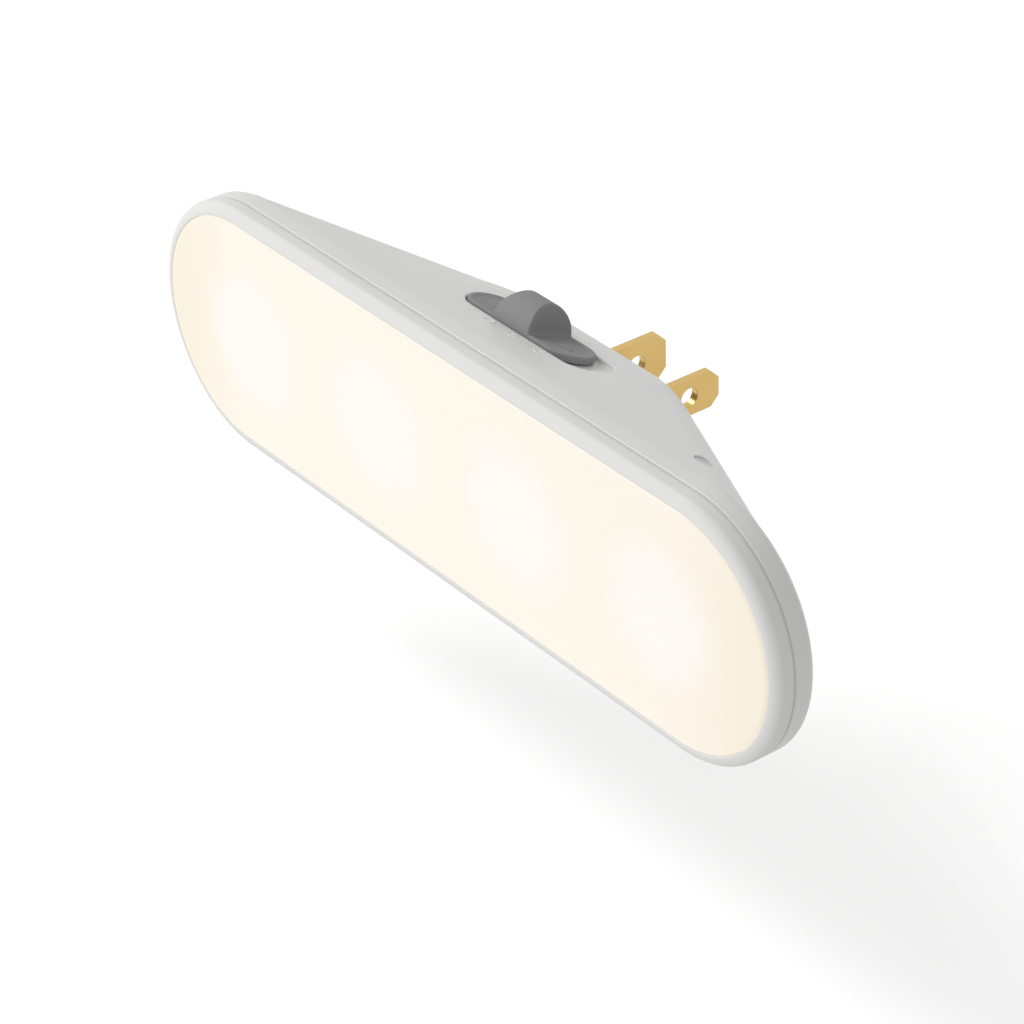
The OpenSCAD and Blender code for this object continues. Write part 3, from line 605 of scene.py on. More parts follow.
@dataclass(frozen=True)
class SlottedHole(Hole):
    """A hole with a filleted floor and a slot through it, given as half length, radius and depth."""
    fillet: float
    floor_in: float
    slot: tuple[float, float, float]

    def inside(self) -> list[tuple[float, float, float, float]]:
        """Lists the rings inside as Hole does: the fillet, the floor, the slot and the underside.

        Returns:
            The rows.
        """
        e, oval, (s, r, under) = self.fillet, (self.half_l, self.r), self.slot
        rows = [(*oval, -e * k, self.depth - e * rise) for k, rise in zip(*quarter(6))]
        return rows + [(*oval, -self.floor_in, self.depth), (s, r, TIGHT, self.depth),
                       (s, r, 0.0, self.depth), (s, r, 0.0, under), (s, r, TIGHT, under),
                       (*oval, self.reach, under)]


@dataclass
class Housing:
    """The white rear housing: a long oval cone with an upright band, a slider recess and a sensor port."""
    front_s: float = 53.85
    front_r: float = 21.35
    back_s: float = 13.7
    back_r: float = 12.3
    crown: float = 0.45
    crown_to: float = 18.0
    crown_fade: float = 6.0
    end_drop: float = 0.55
    end_span: tuple[float, float] = (55.0, 75.0)
    end_share: float = 0.3
    back_z: float = 0.8
    band_z: float = 23.1
    shoulder_z: float = 25.9
    lip_z: float = 26.8
    lip_out_r: float = 20.05
    lip_in_r: float = 18.45
    shoulder_t: float = 1.0
    wall: float = 1.8
    inner_corner_z: float = 24.27
    inner_floor_z: float = 2.6
    opening: tuple[float, float] = (4.0, 8.1)
    back_edge: float = 1.3
    band_edge: float = 0.9
    front_edge: float = 0.34
    edge_rows: int = 8
    back_shares: tuple[float, ...] = (0.4, 0.8, 0.97)
    slope_span: tuple[float, float] = (0.945, 0.04)
    recess: SlottedHole = field(default_factory=lambda: SlottedHole(
        Seat.at(0.0, 16.9686, 11.2, 0.0, 22.3554), half_l=15.25, r=4.6, depth=0.95, rim=0.4, reach=0.6,
        block=(0.82, 0.25, 0.10, 0.90), fillet=0.22, floor_in=0.4, slot=(4.7, 1.4, 2.45)))
    port: Hole = field(default_factory=lambda: Hole(
        Seat.at(46.2, 19.4333, 17.8, 5.5618, 28.2790), half_l=1.7, r=1.4, depth=3.0, rim=0.25, reach=1.4,
        block=(0.38, 0.10, 0.975, 1.105)))
    top_guess: tuple[float, float] = (0.5, 0.3)

    def slope(self, t: np.ndarray) -> tuple[np.ndarray, np.ndarray, np.ndarray]:
        """Half length, radius and height at share t of the slope: linear, plus 4 crown t (1 - t)."""
        t = np.asarray(t, float)
        return (self.front_s + (self.back_s - self.front_s) * t,
                self.front_r + (self.back_r - self.front_r) * t + 4 * self.crown * t * (1 - t),
                self.band_z + (self.back_z - self.band_z) * t)

    def swell(self, t: np.ndarray) -> np.ndarray:
        """How far the crown lifts the slope at share t: 4 crown t (1 - t)."""
        t = np.asarray(t, float)
        return np.clip(4 * self.crown * t * (1 - t), 0, None)

    def sink(self, t: np.ndarray) -> np.ndarray:
        """How far back the slope lies at the ends at share t: end_drop (1 - t / end_share), or none."""
        return self.end_drop * np.clip(1 - np.asarray(t, float) / self.end_share, 0, 1)

    def ease(self, p: np.ndarray, s: np.ndarray, r: np.ndarray, z: np.ndarray, swell: np.ndarray,
             sink: np.ndarray) -> np.ndarray:
        """Bench points of an oval whose crown fades, and whose band deepens, towards the lamp's round ends.

        A point comes in towards the oval's middle line by swell times smooth((|x| - crown_to) /
        (s - crown_to)), and goes back by sink times a smooth step of |x| over end_span.

        Args:
            p: walk places.
            s: half straight lengths.
            r: end radii, crown included.
            z: heights.
            swell: crown's share of the radii.
            sink: how far back the ends lie.

        Returns:
            Bench points.
        """
        x, y = stadium(p, s, r)
        near, far = self.end_span
        z = z - sink * smooth((abs(x) - near) / (far - near))
        drop = swell * smooth((abs(x) - self.crown_to) / np.maximum(s - self.crown_to, self.crown_fade)) / r
        return np.stack([x - (x - np.clip(x, -s, s)) * drop, y * (1 - drop), np.broadcast_to(z, x.shape)],
                        axis=-1)

    def skin(self, p: np.ndarray, t: np.ndarray) -> np.ndarray:
        """Bench points of the slope at walk place p and slope share t."""
        return self.ease(p, *self.slope(t), self.swell(t), self.sink(t))

    def find(self, seat: Seat, a: np.ndarray, b: np.ndarray, p: np.ndarray, t: np.ndarray
             ) -> tuple[np.ndarray, np.ndarray]:
        """Finds where on the slope a seat's plan points fall, by Newton's steps on both distances.

        Args:
            seat: the seat whose plan is meant.
            a: distances across.
            b: distances down.
            p: first guess of the walk places.
            t: first guess of the slope shares.

        Returns:
            Walk places and slope shares.
        """
        rounds, tiny, most = 25, 1e-5, 0.05
        p, t = np.array(p, float), np.array(t, float)
        for _ in range(rounds):
            a0, b0 = seat.plan(self.skin(p, t))
            ap, bp = seat.plan(self.skin(p + tiny, t))
            at, bt = seat.plan(self.skin(p, t + tiny))
            jap, jbp, jat, jbt = (ap - a0) / tiny, (bp - b0) / tiny, (at - a0) / tiny, (bt - b0) / tiny
            det = jap * jbt - jat * jbp
            p += np.clip(((a - a0) * jbt - (b - b0) * jat) / det, -most, most)
            t += np.clip(((b - b0) * jap - (a - a0) * jbp) / det, -most, most)
        return p, t

    def on_skin(self, seat: Seat, a: np.ndarray, b: np.ndarray, lift: np.ndarray) -> np.ndarray:
        """Bench points that lie over plan points, lifted from the slope along the seat's way out."""
        p, t = self.find(seat, a, b, *(np.full(np.shape(a), k) for k in self.top_guess))
        return self.skin(p, t) + np.outer(lift, seat.out)

    def profile(self, shares: np.ndarray) -> tuple[np.ndarray, int, int]:
        """Lists the closed profile (half length, radius, height), outside first.

        Args:
            shares: slope shares of the rows, from back to front.

        Returns:
            The rows, and the numbers of the first outer and the last inner slope row.
        """
        s, r, z = self.slope(shares)
        back = (self.back_s, self.back_r, self.back_z)
        flat = (self.back_s, self.back_r - self.back_edge, self.back_z)
        open_s, open_r = self.opening
        rows = [(open_s, open_r, self.back_z), (open_s, open_r + TIGHT, self.back_z)]
        rows += [tuple(np.array(rows[1]) + (np.array(flat) - rows[1]) * k) for k in self.back_shares]
        rows += corner(flat, back, (s[0], r[0], z[0]), self.edge_rows)[:-1]
        outer = len(rows)
        rows += list(zip(s, r, z))
        e, f, g, shoulder = self.front_edge, self.front_s, self.front_r, self.shoulder_z
        band = self.band_z + self.band_edge
        rows += corner((s[-1], r[-1], z[-1]), (f, g, self.band_z), (f, g, band), self.edge_rows)[1:]
        rows += [(f, g, band + HOLD), (f, g, shoulder - e - HOLD)]
        rows += corner((f, g, shoulder - e), (f, g, shoulder), (f, g - e, shoulder), 6)
        under = shoulder - self.shoulder_t
        rows += [(f, g - e - TIGHT, shoulder), (f, self.lip_out_r, shoulder),
                 (f, self.lip_out_r, self.lip_z), (f, self.lip_in_r, self.lip_z),
                 (f, self.lip_in_r, under), (f, g - self.wall, under)]
        inner_z = self.inner_corner_z - (self.inner_corner_z - self.inner_floor_z) * shares[::-1]
        rows += list(zip(s[::-1], r[::-1] - self.wall, inner_z))
        inner = len(rows) - 1
        rows += [(self.back_s, self.back_r - self.wall, self.inner_floor_z),
                 (open_s, open_r, self.inner_floor_z)]
        return np.array([tuple(row) for row in rows]), outer, inner

    def build(self) -> bpy.types.Object:
        """Builds the shell, with rings of points let in round the recess and the port.

        Returns:
            The housing.
        """
        rb, pb, (back, front) = self.recess.block, self.port.block, self.slope_span
        shares = np.append(steps((back, rb[0], 4), (rb[0], pb[0], 15), (pb[0], rb[1], 7), (rb[1], pb[1], 3),
                                 (pb[1], front, 5)), front)
        walk = steps((0, rb[2], 6), (rb[2], rb[3], 60), (rb[3], pb[2], 5), (pb[2], 1, 5), (1, pb[3], 12),
                     (pb[3], 2, 60), (2, 3, 36), (3, 4, 62))
        rows, outer, inner = self.profile(shares)
        band = outer + len(shares)
        swell, sink = np.zeros((2, len(rows)))
        swell[outer:band] = self.swell(shares)
        swell[inner - len(shares) + 1:inner + 1] = self.swell(shares[::-1])
        sink[outer:band] = self.sink(shares)
        sink[band:band + self.edge_rows - 1] = self.end_drop
        points = self.ease(walk[None, :], *rows.T[:, :, None], swell[:, None], sink[:, None]).reshape(-1, 3)
        quads = grid_quads(len(rows), len(walk))
        keep = np.ones(quads.shape[:2], bool)
        faces: list[np.ndarray] = []
        for hole in (self.recess, self.port):
            i0, i1 = (int(np.argmin(abs(shares - k))) for k in hole.block[:2])
            j0, j1 = (int(np.argmin(abs(walk - k))) for k in hole.block[2:])
            i, j = np.array([(i0, j) for j in range(j0, j1)] + [(i, j1) for i in range(i0, i1)]
                            + [(i1, j) for j in range(j1, j0, -1)] + [(i, j0) for i in range(i1, i0, -1)]).T
            outside, inside = (outer + i) * len(walk) + j, (inner - i) * len(walk) + j
            keep[outer + i0:outer + i1, j0:j1] = False
            keep[inner - i1:inner - i0, j0:j1] = False
            new = self.hole_rings(hole, walk[j], shares[i])
            numbers = len(points) + np.arange(new.shape[0] * len(i)).reshape(-1, len(i))
            points = np.concatenate([points, new.reshape(-1, 3)])
            numbers = np.concatenate([outside[None], numbers, inside[None]])
            after = np.roll(numbers, -1, axis=1)
            sides = [numbers[:-1], numbers[1:], after[1:], after[:-1]]
            faces.append(np.stack(sides, axis=-1).reshape(-1, 4))
        return make_piece("housing_shell", points, np.concatenate([quads[keep]] + faces))

    def hole_rings(self, hole: Hole, p: np.ndarray, t: np.ndarray) -> np.ndarray:
        """Rings from a block's edge over the slope, round the hole's rim as a quarter circle, and inside.

        Args:
            hole: the hole.
            p: walk places of the block's edge.
            t: slope shares of the block's edge.

        Returns:
            The rings, one after another.
        """
        seat, rim, oval = hole.seat, hole.rim, (hole.half_l, hole.r)
        a, b = seat.plan(self.skin(p, t))
        p1, t1 = self.find(seat, *nearest_oval(a, b, *oval, rim + HOLD), p, t)
        rings = [self.skin(p + (p1 - p) * k, t + (t1 - t) * k) for k in SPREAD]
        for fall, reach in zip(*quarter(8)):
            p2, t2 = self.find(seat, *nearest_oval(a, b, *oval, rim * reach), p1, t1)
            rings.append(self.skin(p2, t2) - rim * fall * seat.out)
        rings += [seat.lift(*nearest_oval(a, b, *row), -low) for *row, low in hole.inside()]
        return np.array(rings)


@dataclass
class Hoop:
    """A piece whose profile runs round the lamp's oval: the front ring or the lens."""
    name: str
    s: float
    rows: list[tuple[float, float]]
    on_axis: bool = False

    def build(self) -> bpy.types.Object:
        """Sweeps the closed profile (radius, height) round the oval.

        Returns:
            The piece.
        """
        walk = steps((0, 1, 30), (1, 2, 72), (2, 3, 30), (3, 4, 72))
        points, quads = sweep(self.rows, self.s, walk, not self.on_axis)
        return make_piece(self.name, points, quads, self.on_axis)


@dataclass
class FrontRing:
    """The ring round the lens, with its rounded front corner and the shadow groove behind it."""
    s: float = 53.85
    r: float = 21.35
    width: float = 2.05
    corner_d: float = 1.65
    corner_from_deg: float = 6.0
    skirt: float = 1.2
    tip_z: float = 29.4
    tip_round: float = 0.2
    ledge_z: float = 28.0
    rear_z: float = 26.3
    base_z: float = 25.92
    groove: float = 0.32
    edge: float = 0.26

    def build(self) -> bpy.types.Object:
        """Lists the profile and sweeps it.

        The front corner is a quarter ellipse, width by corner_d, with a tiny round at the lens.

        Returns:
            The ring.
        """
        e, r, tip, inner_r = self.edge, self.r, self.tip_z, self.r - self.width
        a = np.radians(np.linspace(self.corner_from_deg, 90, 16))
        outer = np.stack([r - self.width * (1 - np.sin(a)), tip - self.corner_d * (1 - np.cos(a))], axis=1)
        rows = corner((inner_r, tip - self.tip_round), (inner_r, tip), tuple(outer[0]), 5)[:-1]
        rows += list(outer) + [(r, self.rear_z + 2 * e)]
        rows += corner((r, self.rear_z + e), (r, self.rear_z), (r - e, self.rear_z), 5)
        rows += [(r - self.groove, self.rear_z), (r - self.groove, self.base_z),
                 (r - self.skirt, self.base_z), (r - self.skirt, self.ledge_z), (inner_r, self.ledge_z)]
        return Hoop("lens_ring", self.s, [tuple(row) for row in rows]).build()


@dataclass
class Lens:
    """The opal lens: a flat face with a softly rounded edge, a skirt and a flange under the ring."""
    s: float = 53.85
    r: float = 19.2
    front_z: float = 29.5
    face_t: float = 1.6
    skirt_t: float = 1.45
    ledge_z: float = 28.0
    lip_z: float = 26.8
    flange_r: float = 20.05
    edge: float = 0.5
    face_shares: tuple[float, ...] = (0.0, 0.4, 0.8)
    diodes: tuple[float, ...] = (-50.1, -16.7, 16.7, 50.1)

    def build(self) -> bpy.types.Object:
        """Lists the profile from the middle line outwards and back, and sweeps it.

        Returns:
            The lens.
        """
        e, r, front = self.edge, self.r, self.front_z
        inner_z, inner_r = front - self.face_t, r - self.skirt_t
        rows = [(r * k, front) for k in self.face_shares] + [(r - e - HOLD, front)]
        rows += corner((r - e, front), (r, front), (r, front - e), 7)
        rows += [(r, self.ledge_z), (self.flange_r, self.ledge_z), (self.flange_r, self.lip_z),
                 (inner_r, self.lip_z), (inner_r, inner_z), (0.0, inner_z)]
        return Hoop("opal_face", self.s, [tuple(row) for row in rows], on_axis=True).build()


@dataclass
class Window:
    """The frosted window in the sensor port: a plug with an eased front edge, and a flange inside."""
    port: Seat
    straight: float = 0.3
    r: float = 1.3
    flange_r: float = 2.1
    front: float = -0.58
    seat_h: float = -3.0
    rear: float = -3.5
    edge: float = 0.25

    def build(self) -> bpy.types.Object:
        """Lists the profile (radius, height), rear to front, and sweeps it round the port's oval.

        Returns:
            The window.
        """
        rows = [(0.0, self.rear), (self.flange_r, self.rear), (self.flange_r, self.seat_h),
                (self.r, self.seat_h)]
        rows += [(self.r - self.edge * k, self.front - self.edge * rise) for k, rise in zip(*quarter(6))]
        rows += [((self.r - self.edge) / 2, self.front), (0.0, self.front)]
        points, quads = sweep(rows, self.straight, steps((0, 1, 4), (1, 2, 24), (2, 3, 4), (3, 4, 24)))
        return make_piece("port_window", self.port.lift(*points.T), quads, True)


@dataclass
class Knob:
    """The grey slider: a dished plate with a rounded rim, and a raised grip hollowed at both ends.

    arrow is its base, its tip and half its width; arrow_core is how many roundings the core lies in from
    its tip and its sides; arrow_flat is the rounding's share that is left at its flat top, and arrow_mid
    the one in the middle of that. stem is length, width and foot; notch is width and top; barb is length,
    how far it stands out, top and foot. overlap is how far the stem's blocks run into the plate and each
    other.
    """
    deck: Seat
    rest_shift: float = -2.0
    half_l: float = 13.05
    r: float = 4.4
    bottom: float = -0.75
    foot_edge: float = 0.25
    top: float = 0.4
    rim: float = 0.32
    dish_d: float = 0.25
    dish_out: float = 0.08
    dish_in: float = 1.5
    dish_flat: float = 0.8
    grip_h: float = 4.85
    grip_half: float = 2.8
    grip_lean: float = 0.13
    scoop_r: float = 10.18
    flare: tuple[float, float] = (0.4, 0.65)
    edge: float = 0.34
    arrow: tuple[float, float, float] = (7.05, 10.1, 1.5)
    arrow_round: float = 0.34
    arrow_rise: float = 0.24
    arrow_foot: float = 0.06
    arrow_core: tuple[float, float] = (1.9, 1.5)
    arrow_flat: float = 0.3
    arrow_mid: float = 0.02
    stem: tuple[float, float, float] = (5.0, 2.4, -5.15)
    notch: tuple[float, float] = (2.2, -3.65)
    barb: tuple[float, float, float, float] = (3.4, 0.3, -3.65, -4.05)
    overlap: tuple[float, float] = (0.1, 0.3)
    sharp_deg: float = 42.0

    def plate(self) -> tuple[np.ndarray, np.ndarray]:
        """Plate: rings shrunk from the oval by g at height h, closed on the middle line.

        Returns:
            Points and quads.
        """
        e, low, inner = self.rim, self.foot_edge, self.rim + self.dish_out
        share = np.linspace(0, 1, 8)[1:]
        rings = [(self.r, self.bottom), (low, self.bottom)]
        rings += [(low * k, self.bottom + low * rise) for rise, k in zip(*quarter(5))]
        rings += [(0.0, self.top - e - TIGHT)]
        rings += [(e * k, self.top - e * fall) for k, fall in zip(*quarter(8))]
        rings += list(zip(inner + (self.dish_in - inner) * share, self.top - self.dish_d * smooth(share)))
        rings += [(self.dish_in + self.dish_flat, self.top - self.dish_d), (self.r, self.top - self.dish_d)]
        rows = np.array(rings)
        rows[:, 0] = self.r - rows[:, 0]
        return sweep(rows, self.half_l - self.r, steps(*((k, k + 1, 40) for k in range(4))))

    def end_at(self, b: np.ndarray, n: np.ndarray) -> np.ndarray:
        """Half length of the grip: half + lean (h - n) + R - sqrt(R R - b b), plus a flare at the foot.

        Args:
            b: distances across the slider.
            n: heights over the housing.

        Returns:
            How far the hollowed end stands from the middle.
        """
        reach, rise = self.flare
        foot = np.clip(1 - (n - self.top + self.dish_d) / rise, 0, 1)
        return (self.grip_half + self.grip_lean * (self.grip_h - n)
                + self.scoop_r - np.sqrt(self.scoop_r ** 2 - b ** 2) + reach * foot ** 2)

    def grip(self) -> tuple[np.ndarray, list]:
        """Grip: a half round on short legs, swept along the slider, with a hollow face at each end.

        A section point stands at (r sin a, rise + r cos a). Rows go round each edge as a quarter circle and
        then shrink towards the middle of the foot, where x is the hollow face's own.

        Returns:
            Points and faces.
        """
        base, rise, e, face_rows = self.top - self.rim, self.grip_h - self.r, self.edge, 13
        turn = np.concatenate([[-QUARTER], np.linspace(-QUARTER, QUARTER, 57), [QUARTER]])
        low = np.zeros(len(turn))
        low[[0, -1]] = rise - base
        one_cos, one_sin = quarter(7)
        inset = np.append(e * one_cos, np.full(face_rows, e))[:, None]
        back = np.append(e * one_sin, np.zeros(face_rows))[:, None]
        share = np.append(np.ones(7), 1 - np.linspace(0, 1, face_rows + 1)[1:])[:, None]
        b = share * (self.r - inset) * np.sin(turn)
        n = base + share * (rise + (self.r - inset) * np.cos(turn) - low - base)
        half = np.stack([self.end_at(b, n) - back, b, n], axis=-1)
        middle = half[:1] * np.array([0, 1, 1])
        points = np.concatenate([half[::-1], middle, half * np.array([-1, 1, 1])]).reshape(-1, 3)
        rows, m = 2 * len(share) + 1, len(turn)
        foot = [r * m for r in range(rows)] + [r * m + m - 1 for r in range(rows - 1, -1, -1)]
        return points, list(grid_quads(rows, m, False, False).reshape(-1, 4)) + [foot]

    def arrowhead(self, side: int) -> tuple[np.ndarray, list]:
        """Arrowhead: a low three-cornered pad with rounded corners and edge, pointing outwards.

        A rim point stands a radius q from a corner of the core; q falls as a cosine while the height rises
        as a sine.

        Args:
            side: 1 for the right-hand arrow and -1 for the left-hand one.

        Returns:
            Points and faces.
        """
        x0, x1, half = self.arrow
        q, (tip_in, side_in), per_arc = self.arrow_round, self.arrow_core, 9
        wide = half - side_in * q
        core = np.array([(x1 - tip_in * q, 0), (x0 + q, wide), (x0 + q, -wide)])
        lean = math.atan2(wide, x1 - x0 - (1 + tip_in) * q)
        arcs = [(lean - QUARTER, QUARTER - lean), (QUARTER - lean, np.pi), (-np.pi, lean - QUARTER)]
        turn = np.array([np.linspace(a, b, per_arc) for a, b in arcs])
        away = np.stack([np.cos(turn), np.sin(turn)], axis=-1).reshape(-1, 2)
        hub = np.repeat(core, per_arc, axis=0)
        k = np.linspace(0, QUARTER, 7)
        reach = q * np.append(self.arrow_flat + (1 - self.arrow_flat) * np.cos(k), self.arrow_mid)
        rise = np.append(self.arrow_rise * np.sin(k), self.arrow_rise)
        base = self.top - self.dish_d - self.arrow_foot
        flat = hub[None] + reach[:, None, None] * away[None]
        height = np.broadcast_to((base + rise)[:, None], flat.shape[:2])
        points = np.stack([side * flat[..., 0], flat[..., 1], height], axis=-1).reshape(-1, 3)
        n = len(hub)
        faces = list(grid_quads(len(reach), n, False).reshape(-1, 4))
        return points, faces + [list(range(n - 1, -1, -1)), list(range(len(points) - n, len(points)))]

    def block(self, x0: float, x1: float, half_w: float, z0: float, z1: float) -> tuple[np.ndarray, list]:
        """Square block of the stem: eight corners between two places along it and two heights."""
        plan = ((x0, -half_w), (x1, -half_w), (x1, half_w), (x0, half_w))
        corners = np.array([(x, y, z) for z in (z0, z1) for x, y in plan])
        return corners, [[0, 3, 2, 1], [4, 5, 6, 7], [0, 1, 5, 4], [1, 2, 6, 5], [2, 3, 7, 6], [3, 0, 4, 7]]

    def build(self) -> bpy.types.Object:
        """Builds plate, grip, arrows and stem, and joins them.

        Returns:
            The slider.
        """
        half, half_w, low = self.stem[0] / 2, self.stem[1] / 2, self.stem[2]
        gap, notch_top = self.notch[0] / 2, self.notch[1]
        barb, barb_w, barb_top, barb_low = self.barb[0] / 2, half_w + self.barb[1], *self.barb[2:]
        in_plate, in_stem = self.overlap
        parts = {"plate": self.plate(), "grip": self.grip(),
                 "arrow_right": self.arrowhead(1), "arrow_left": self.arrowhead(-1),
                 "stem": self.block(-half, half, half_w, notch_top, self.bottom + in_plate)}
        for kind, far, *sizes in (("prong", half, half_w, low, notch_top + in_stem),
                                  ("barb", barb, barb_w, barb_low, barb_top)):
            parts[f"{kind}_left"] = self.block(-far, -gap, *sizes)
            parts[f"{kind}_right"] = self.block(gap, far, *sizes)
        made = [make_piece(f"slider_{name}", self.deck.lift(at[:, 0] + self.rest_shift, at[:, 1], at[:, 2]),
                           faces, name in ("plate", "grip"), self.sharp_deg)
                for name, (at, faces) in parts.items()]
        with bpy.context.temp_override(active_object=made[0], selected_editable_objects=made):
            bpy.ops.object.join()
        made[0].name = "slider_thumb_piece"
        return made[0]


@dataclass(frozen=True)
class Sign:
    """One raised mark: its place across the slope, its ring, and its rays if it is a sun."""
    mark: Mark
    across: float
    ring_r: float
    rays: int = 0
    reach: float = 0.0


@dataclass
class Marks:
    """Small raised marks on the slope in front of the slider: a ring, a small sun and a large sun."""
    housing: Housing
    down: float = -6.6
    signs: tuple[Sign, ...] = (Sign(Mark.OFF, -4.2, 0.95), Sign(Mark.DIM, 1.3, 0.5, 6, 1.17),
                               Sign(Mark.BRIGHT, 7.9, 0.62, 8, 1.42))
    lift: float = 0.09
    line: float = 0.16
    ray_gap: float = 0.3
    ray_tip: float = 0.06
    tip_share: float = 0.4
    sharp_deg: float = 60.0
    section: np.ndarray = field(default_factory=lambda: np.linspace(0, 2 * np.pi, 8, endpoint=False))

    def lay(self, across: np.ndarray, down: np.ndarray, high: np.ndarray) -> np.ndarray:
        """Bench points on the slope from distances across and down, lifted by shares of the height."""
        return self.housing.on_skin(self.housing.recess.seat, across.ravel(), (self.down + down).ravel(),
                                    self.lift * high.ravel())

    def loop(self, a: float, r: float) -> tuple[np.ndarray, list]:
        """Ring of half-round section: (a + (r + w cos k) cos u, (r + w cos k) sin u), lifted by sin k.

        Args:
            a: place across of its middle.
            r: its radius.

        Returns:
            Points and faces.
        """
        u = np.linspace(0, 2 * np.pi, 28, endpoint=False)[:, None]
        wide = r + self.line * np.cos(self.section)
        points = self.lay(a + wide * np.cos(u), wide * np.sin(u), np.sin(self.section) + 0 * u)
        return points, list(grid_quads(len(u), len(self.section)).reshape(-1, 4))

    def ray(self, a: float, turn: float, r0: float, r1: float) -> tuple[np.ndarray, list]:
        """Ray of half-round section, thinner at its ends: along it r, aside w cos k, lifted by sin k.

        Args:
            a: place across of the sun's middle.
            turn: its angle round the sun.
            r0: where it starts.
            r1: where it ends.

        Returns:
            Points and faces.
        """
        along = np.array([r0, r0 + self.ray_tip, r1 - self.ray_tip, r1])[:, None]
        size = np.array([self.tip_share, 1.0, 1.0, self.tip_share])[:, None]
        side = self.line * size * np.cos(self.section)
        points = self.lay(a + along * math.cos(turn) - side * math.sin(turn),
                          along * math.sin(turn) + side * math.cos(turn), size * np.sin(self.section))
        n, end = len(self.section), len(size) * len(self.section)
        faces = list(grid_quads(len(size), n, False).reshape(-1, 4))
        return points, faces + [list(range(n)), list(range(end - 1, end - n - 1, -1))]

    def build(self, material: bpy.types.Material) -> None:
        """Builds each mark and settles it on the lamp.

        Args:
            material: what the marks are made of.
        """
        for sign in self.signs:
            parts, start = [self.loop(sign.across, sign.ring_r)], sign.ring_r + self.ray_gap
            parts += [self.ray(sign.across, 2 * math.pi * k / sign.rays, start, sign.reach)
                      for k in range(sign.rays)]
            firsts = np.cumsum([0] + [len(points) for points, _ in parts])
            faces = [[int(i) + first for i in f] for first, (_, new) in zip(firsts, parts) for f in new]
            piece = make_piece(f"mark_{sign.mark.value}", np.concatenate([points for points, _ in parts]),
                               faces, sharp_deg=self.sharp_deg)
            settle(piece, BODY, Slot.HOUSING, material)


@dataclass
class Pressed:
    """A CAD node copied with its edges eased, for pieces whose flats are right but whose edges are not."""
    node: str
    name: str
    edge_mm: float
    slot: Slot
    near_mm: float = 0.002
    flat_deg: float = 0.5
    sharp_deg: float = 30.0
    ease_from_deg: float = 40.0
    ease_rows: int = 3

    def build(self, material: bpy.types.Material) -> None:
        """Copies the node, joins its loose triangles, eases its edges and settles it.

        Args:
            material: its finish.
        """
        mesh = frame["nodes"][self.node].data.copy()
        mesh.name = self.name
        weld(mesh, self.near_mm, self.flat_deg)
        shade(mesh, self.sharp_deg)
        piece = put(self.name, mesh)
        ease = piece.modifiers.new("eased_edges", "BEVEL")
        ease.width, ease.segments = self.edge_mm * MM, self.ease_rows
        ease.limit_method, ease.angle_limit = "ANGLE", math.radians(self.ease_from_deg)
        ease.harden_normals = True
        settle(piece, BODY, self.slot, material, self.node)


@dataclass(frozen=True)
class Lamp:
    """A square soft lamp that faces the middle of the object: place and side in metres, and watts."""
    name: str
    place: tuple[float, float, float]
    size: float
    watts: float

    def hang(self) -> None:
        """Hangs the lamp."""
        data = bpy.data.lights.new(self.name, "AREA")
        data.shape, data.size, data.energy = "SQUARE", self.size, self.watts
        back = np.array(self.place) / np.linalg.norm(self.place)
        right = np.cross((0, 0, 1), back)
        right /= np.linalg.norm(right)
        turn = Matrix((right, np.cross(back, right), back)).transposed().to_4x4()
        put(self.name, data).matrix_world = Matrix.Translation(self.place) @ turn


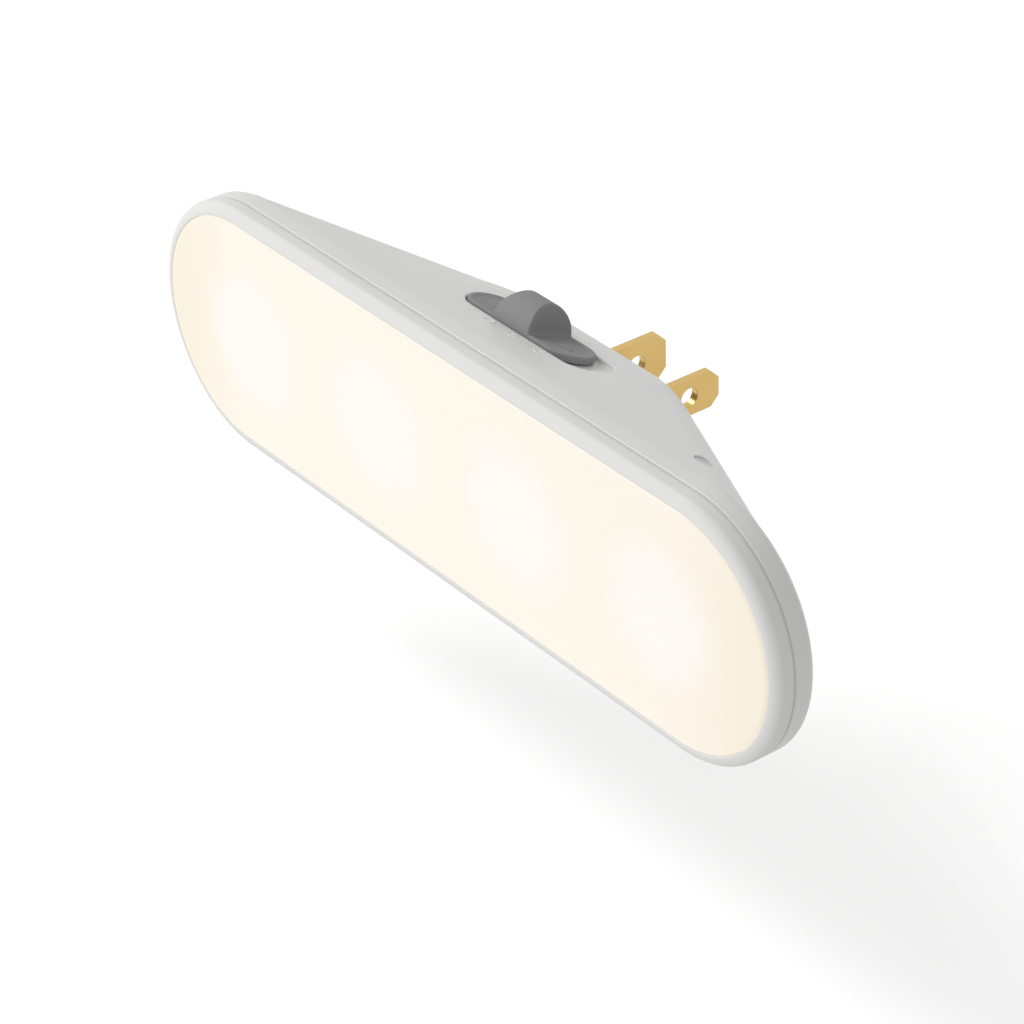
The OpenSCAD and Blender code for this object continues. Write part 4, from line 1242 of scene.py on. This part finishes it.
@dataclass
class Studio:
    """Pale floor and soft lamps, placed in metres, and the camera, placed in millimetres."""
    floor_z: float = -0.052
    floor_half: float = 6.0
    floor_tone: str = "#e8e8e8"
    floor_white: float = 0.42
    world: float = 0.52
    lamps: tuple[Lamp, ...] = (Lamp("key", (-1.33, -0.5, 1.41), 0.8, 12.8),
                               Lamp("front", (-0.4, -1.9, 0.5), 1.2, 9.6))
    eye_mm: tuple[float, float, float] = (415.52, -324.84, 316.74)
    right: tuple[float, float, float] = (0.60887, 0.79277, -0.02807)
    up: tuple[float, float, float] = (-0.41143, 0.34585, 0.84328)
    back: tuple[float, float, float] = (0.67823, -0.5019, 0.53675)
    lens_mm: float = 142.54
    sensor_mm: float = 36.0
    clip: tuple[float, float] = (0.01, 50.0)

    def camera(self) -> None:
        """Stands the camera where the photograph was taken from."""
        data = bpy.data.cameras.new("camera")
        data.lens, data.sensor_width, data.sensor_fit = self.lens_mm, self.sensor_mm, "HORIZONTAL"
        data.clip_start, data.clip_end = self.clip
        stand = put("camera", data)
        turn = Matrix((self.right, self.up, self.back)).transposed().to_4x4()
        stand.matrix_world = Matrix.Translation([v * MM for v in self.eye_mm]) @ turn
        bpy.context.scene.camera = stand

    def floor(self) -> None:
        """Lays a pale floor that the camera and mirrors see as white, with the lamp's soft shadow."""
        mesh = bpy.data.meshes.new("floor")
        mesh.from_pydata([(x * self.floor_half, y * self.floor_half, self.floor_z)
                          for x, y in ((-1, -1), (1, -1), (1, 1), (-1, 1))], [], [(0, 1, 2, 3)])
        floor = put("floor", mesh)
        made, _, add = new_material("studio_floor_pale")
        made.node_tree.nodes.clear()
        matt = add("BsdfDiffuse", {"Color": to_linear(self.floor_tone)})
        white = add("Emission", {"Color": (1, 1, 1, 1), "Strength": self.floor_white})
        both = add("AddShader", {}, {0: matt.outputs[0], 1: white.outputs[0]})
        mix = add("MixShader", {}, {0: self.seen_share(add), 1: matt.outputs[0], 2: both.outputs[0]})
        add("OutputMaterial", {}, {"Surface": mix.outputs[0]})
        mesh.materials.append(made)

    @staticmethod
    def seen_share(add: partial) -> bpy.types.NodeSocket:
        """Adds up the rays that come from the camera, a mirror or a clear piece."""
        path, plus = add("LightPath").outputs, {"operation": "ADD", "use_clamp": True}
        first = add("Math", plus, {0: path["Is Camera Ray"], 1: path["Is Glossy Ray"]})
        return add("Math", plus, {0: first.outputs[0], 1: path["Is Transmission Ray"]}).outputs[0]

    def light(self) -> None:
        """Lights the room evenly, with a soft lamp from the upper left and one from the front."""
        world = bpy.data.worlds.new("studio")
        bpy.context.scene.world = world
        world.use_nodes = True
        world.node_tree.nodes.clear()
        add = partial(add_node, world.node_tree)
        room = add("Background", {"Color": (1, 1, 1, 1), "Strength": self.world})
        shown = add("Background", {"Color": (1, 1, 1, 1), "Strength": 1.0})
        mix = add("MixShader", {}, {0: self.seen_share(add), 1: room.outputs[0], 2: shown.outputs[0]})
        add("OutputWorld", {}, {"Surface": mix.outputs[0]})
        for lamp in self.lamps:
            lamp.hang()


def dress_cad_nodes(replaced: set[str]) -> None:
    """Gives each CAD node that stays its own finish, by its slot in the record.

    Args:
        replaced: nodes that a new piece stands for.
    """
    made: dict[str, bpy.types.Material] = {}
    for entry in frame["record"]["subparts"]:
        node, slot = entry["node"], entry["material_slot"]
        if node in replaced:
            continue
        if slot not in made:
            made[slot] = INNER_FINISHES[slot].make()
        holder = frame["nodes"][node]
        if holder.material_slots:
            for place in holder.material_slots:
                place.material = made[slot]
        else:
            holder.data.materials.append(made[slot])
        log.info("node %s dressed as %s", node, made[slot].name)


def main() -> None:
    """Builds the studio, the lamp's new pieces and the finishes, in that order."""
    logging.basicConfig(level=logging.INFO, format="%(name)s: %(message)s")
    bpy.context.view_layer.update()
    studio = Studio()
    studio.camera()
    studio.floor()
    studio.light()
    housing = Housing()
    settle(housing.build(), BODY, Slot.HOUSING, HOUSING_ABS.make(), "rear_housing")
    settle(FrontRing().build(), BODY, Slot.RING, RING_ABS.make(), "front_ring")
    lens = Lens()
    settle(lens.build(), BODY, Slot.LENS, LitOpal().make(lens.diodes), "diffuser_lens")
    settle(Knob(housing.recess.seat).build(), SLIDER, Slot.KNOB, KNOB_ABS.make(), "slider_knob")
    settle(Window(housing.port.seat).build(), BODY, Slot.WINDOW, WINDOW_PC.make(), "sensor_window")
    Marks(housing).build(MARK_ABS.make())
    brass = BLADE_BRASS.make()
    for side in ("line", "neutral"):
        Pressed(f"{side}_blade", f"blade_{side}", 0.14, Slot.BLADE).build(brass)
    Pressed("plug_carrier", "plug_face", 0.2, Slot.HOUSING).build(PLUG_ABS.make())
    dress_cad_nodes({"rear_housing", "front_ring", "diffuser_lens", "slider_knob", "line_blade",
                     "neutral_blade", "plug_carrier", "sensor_window"})
    bpy.context.scene.view_settings.view_transform = "Standard"


if __name__ == "__main__":
    main()
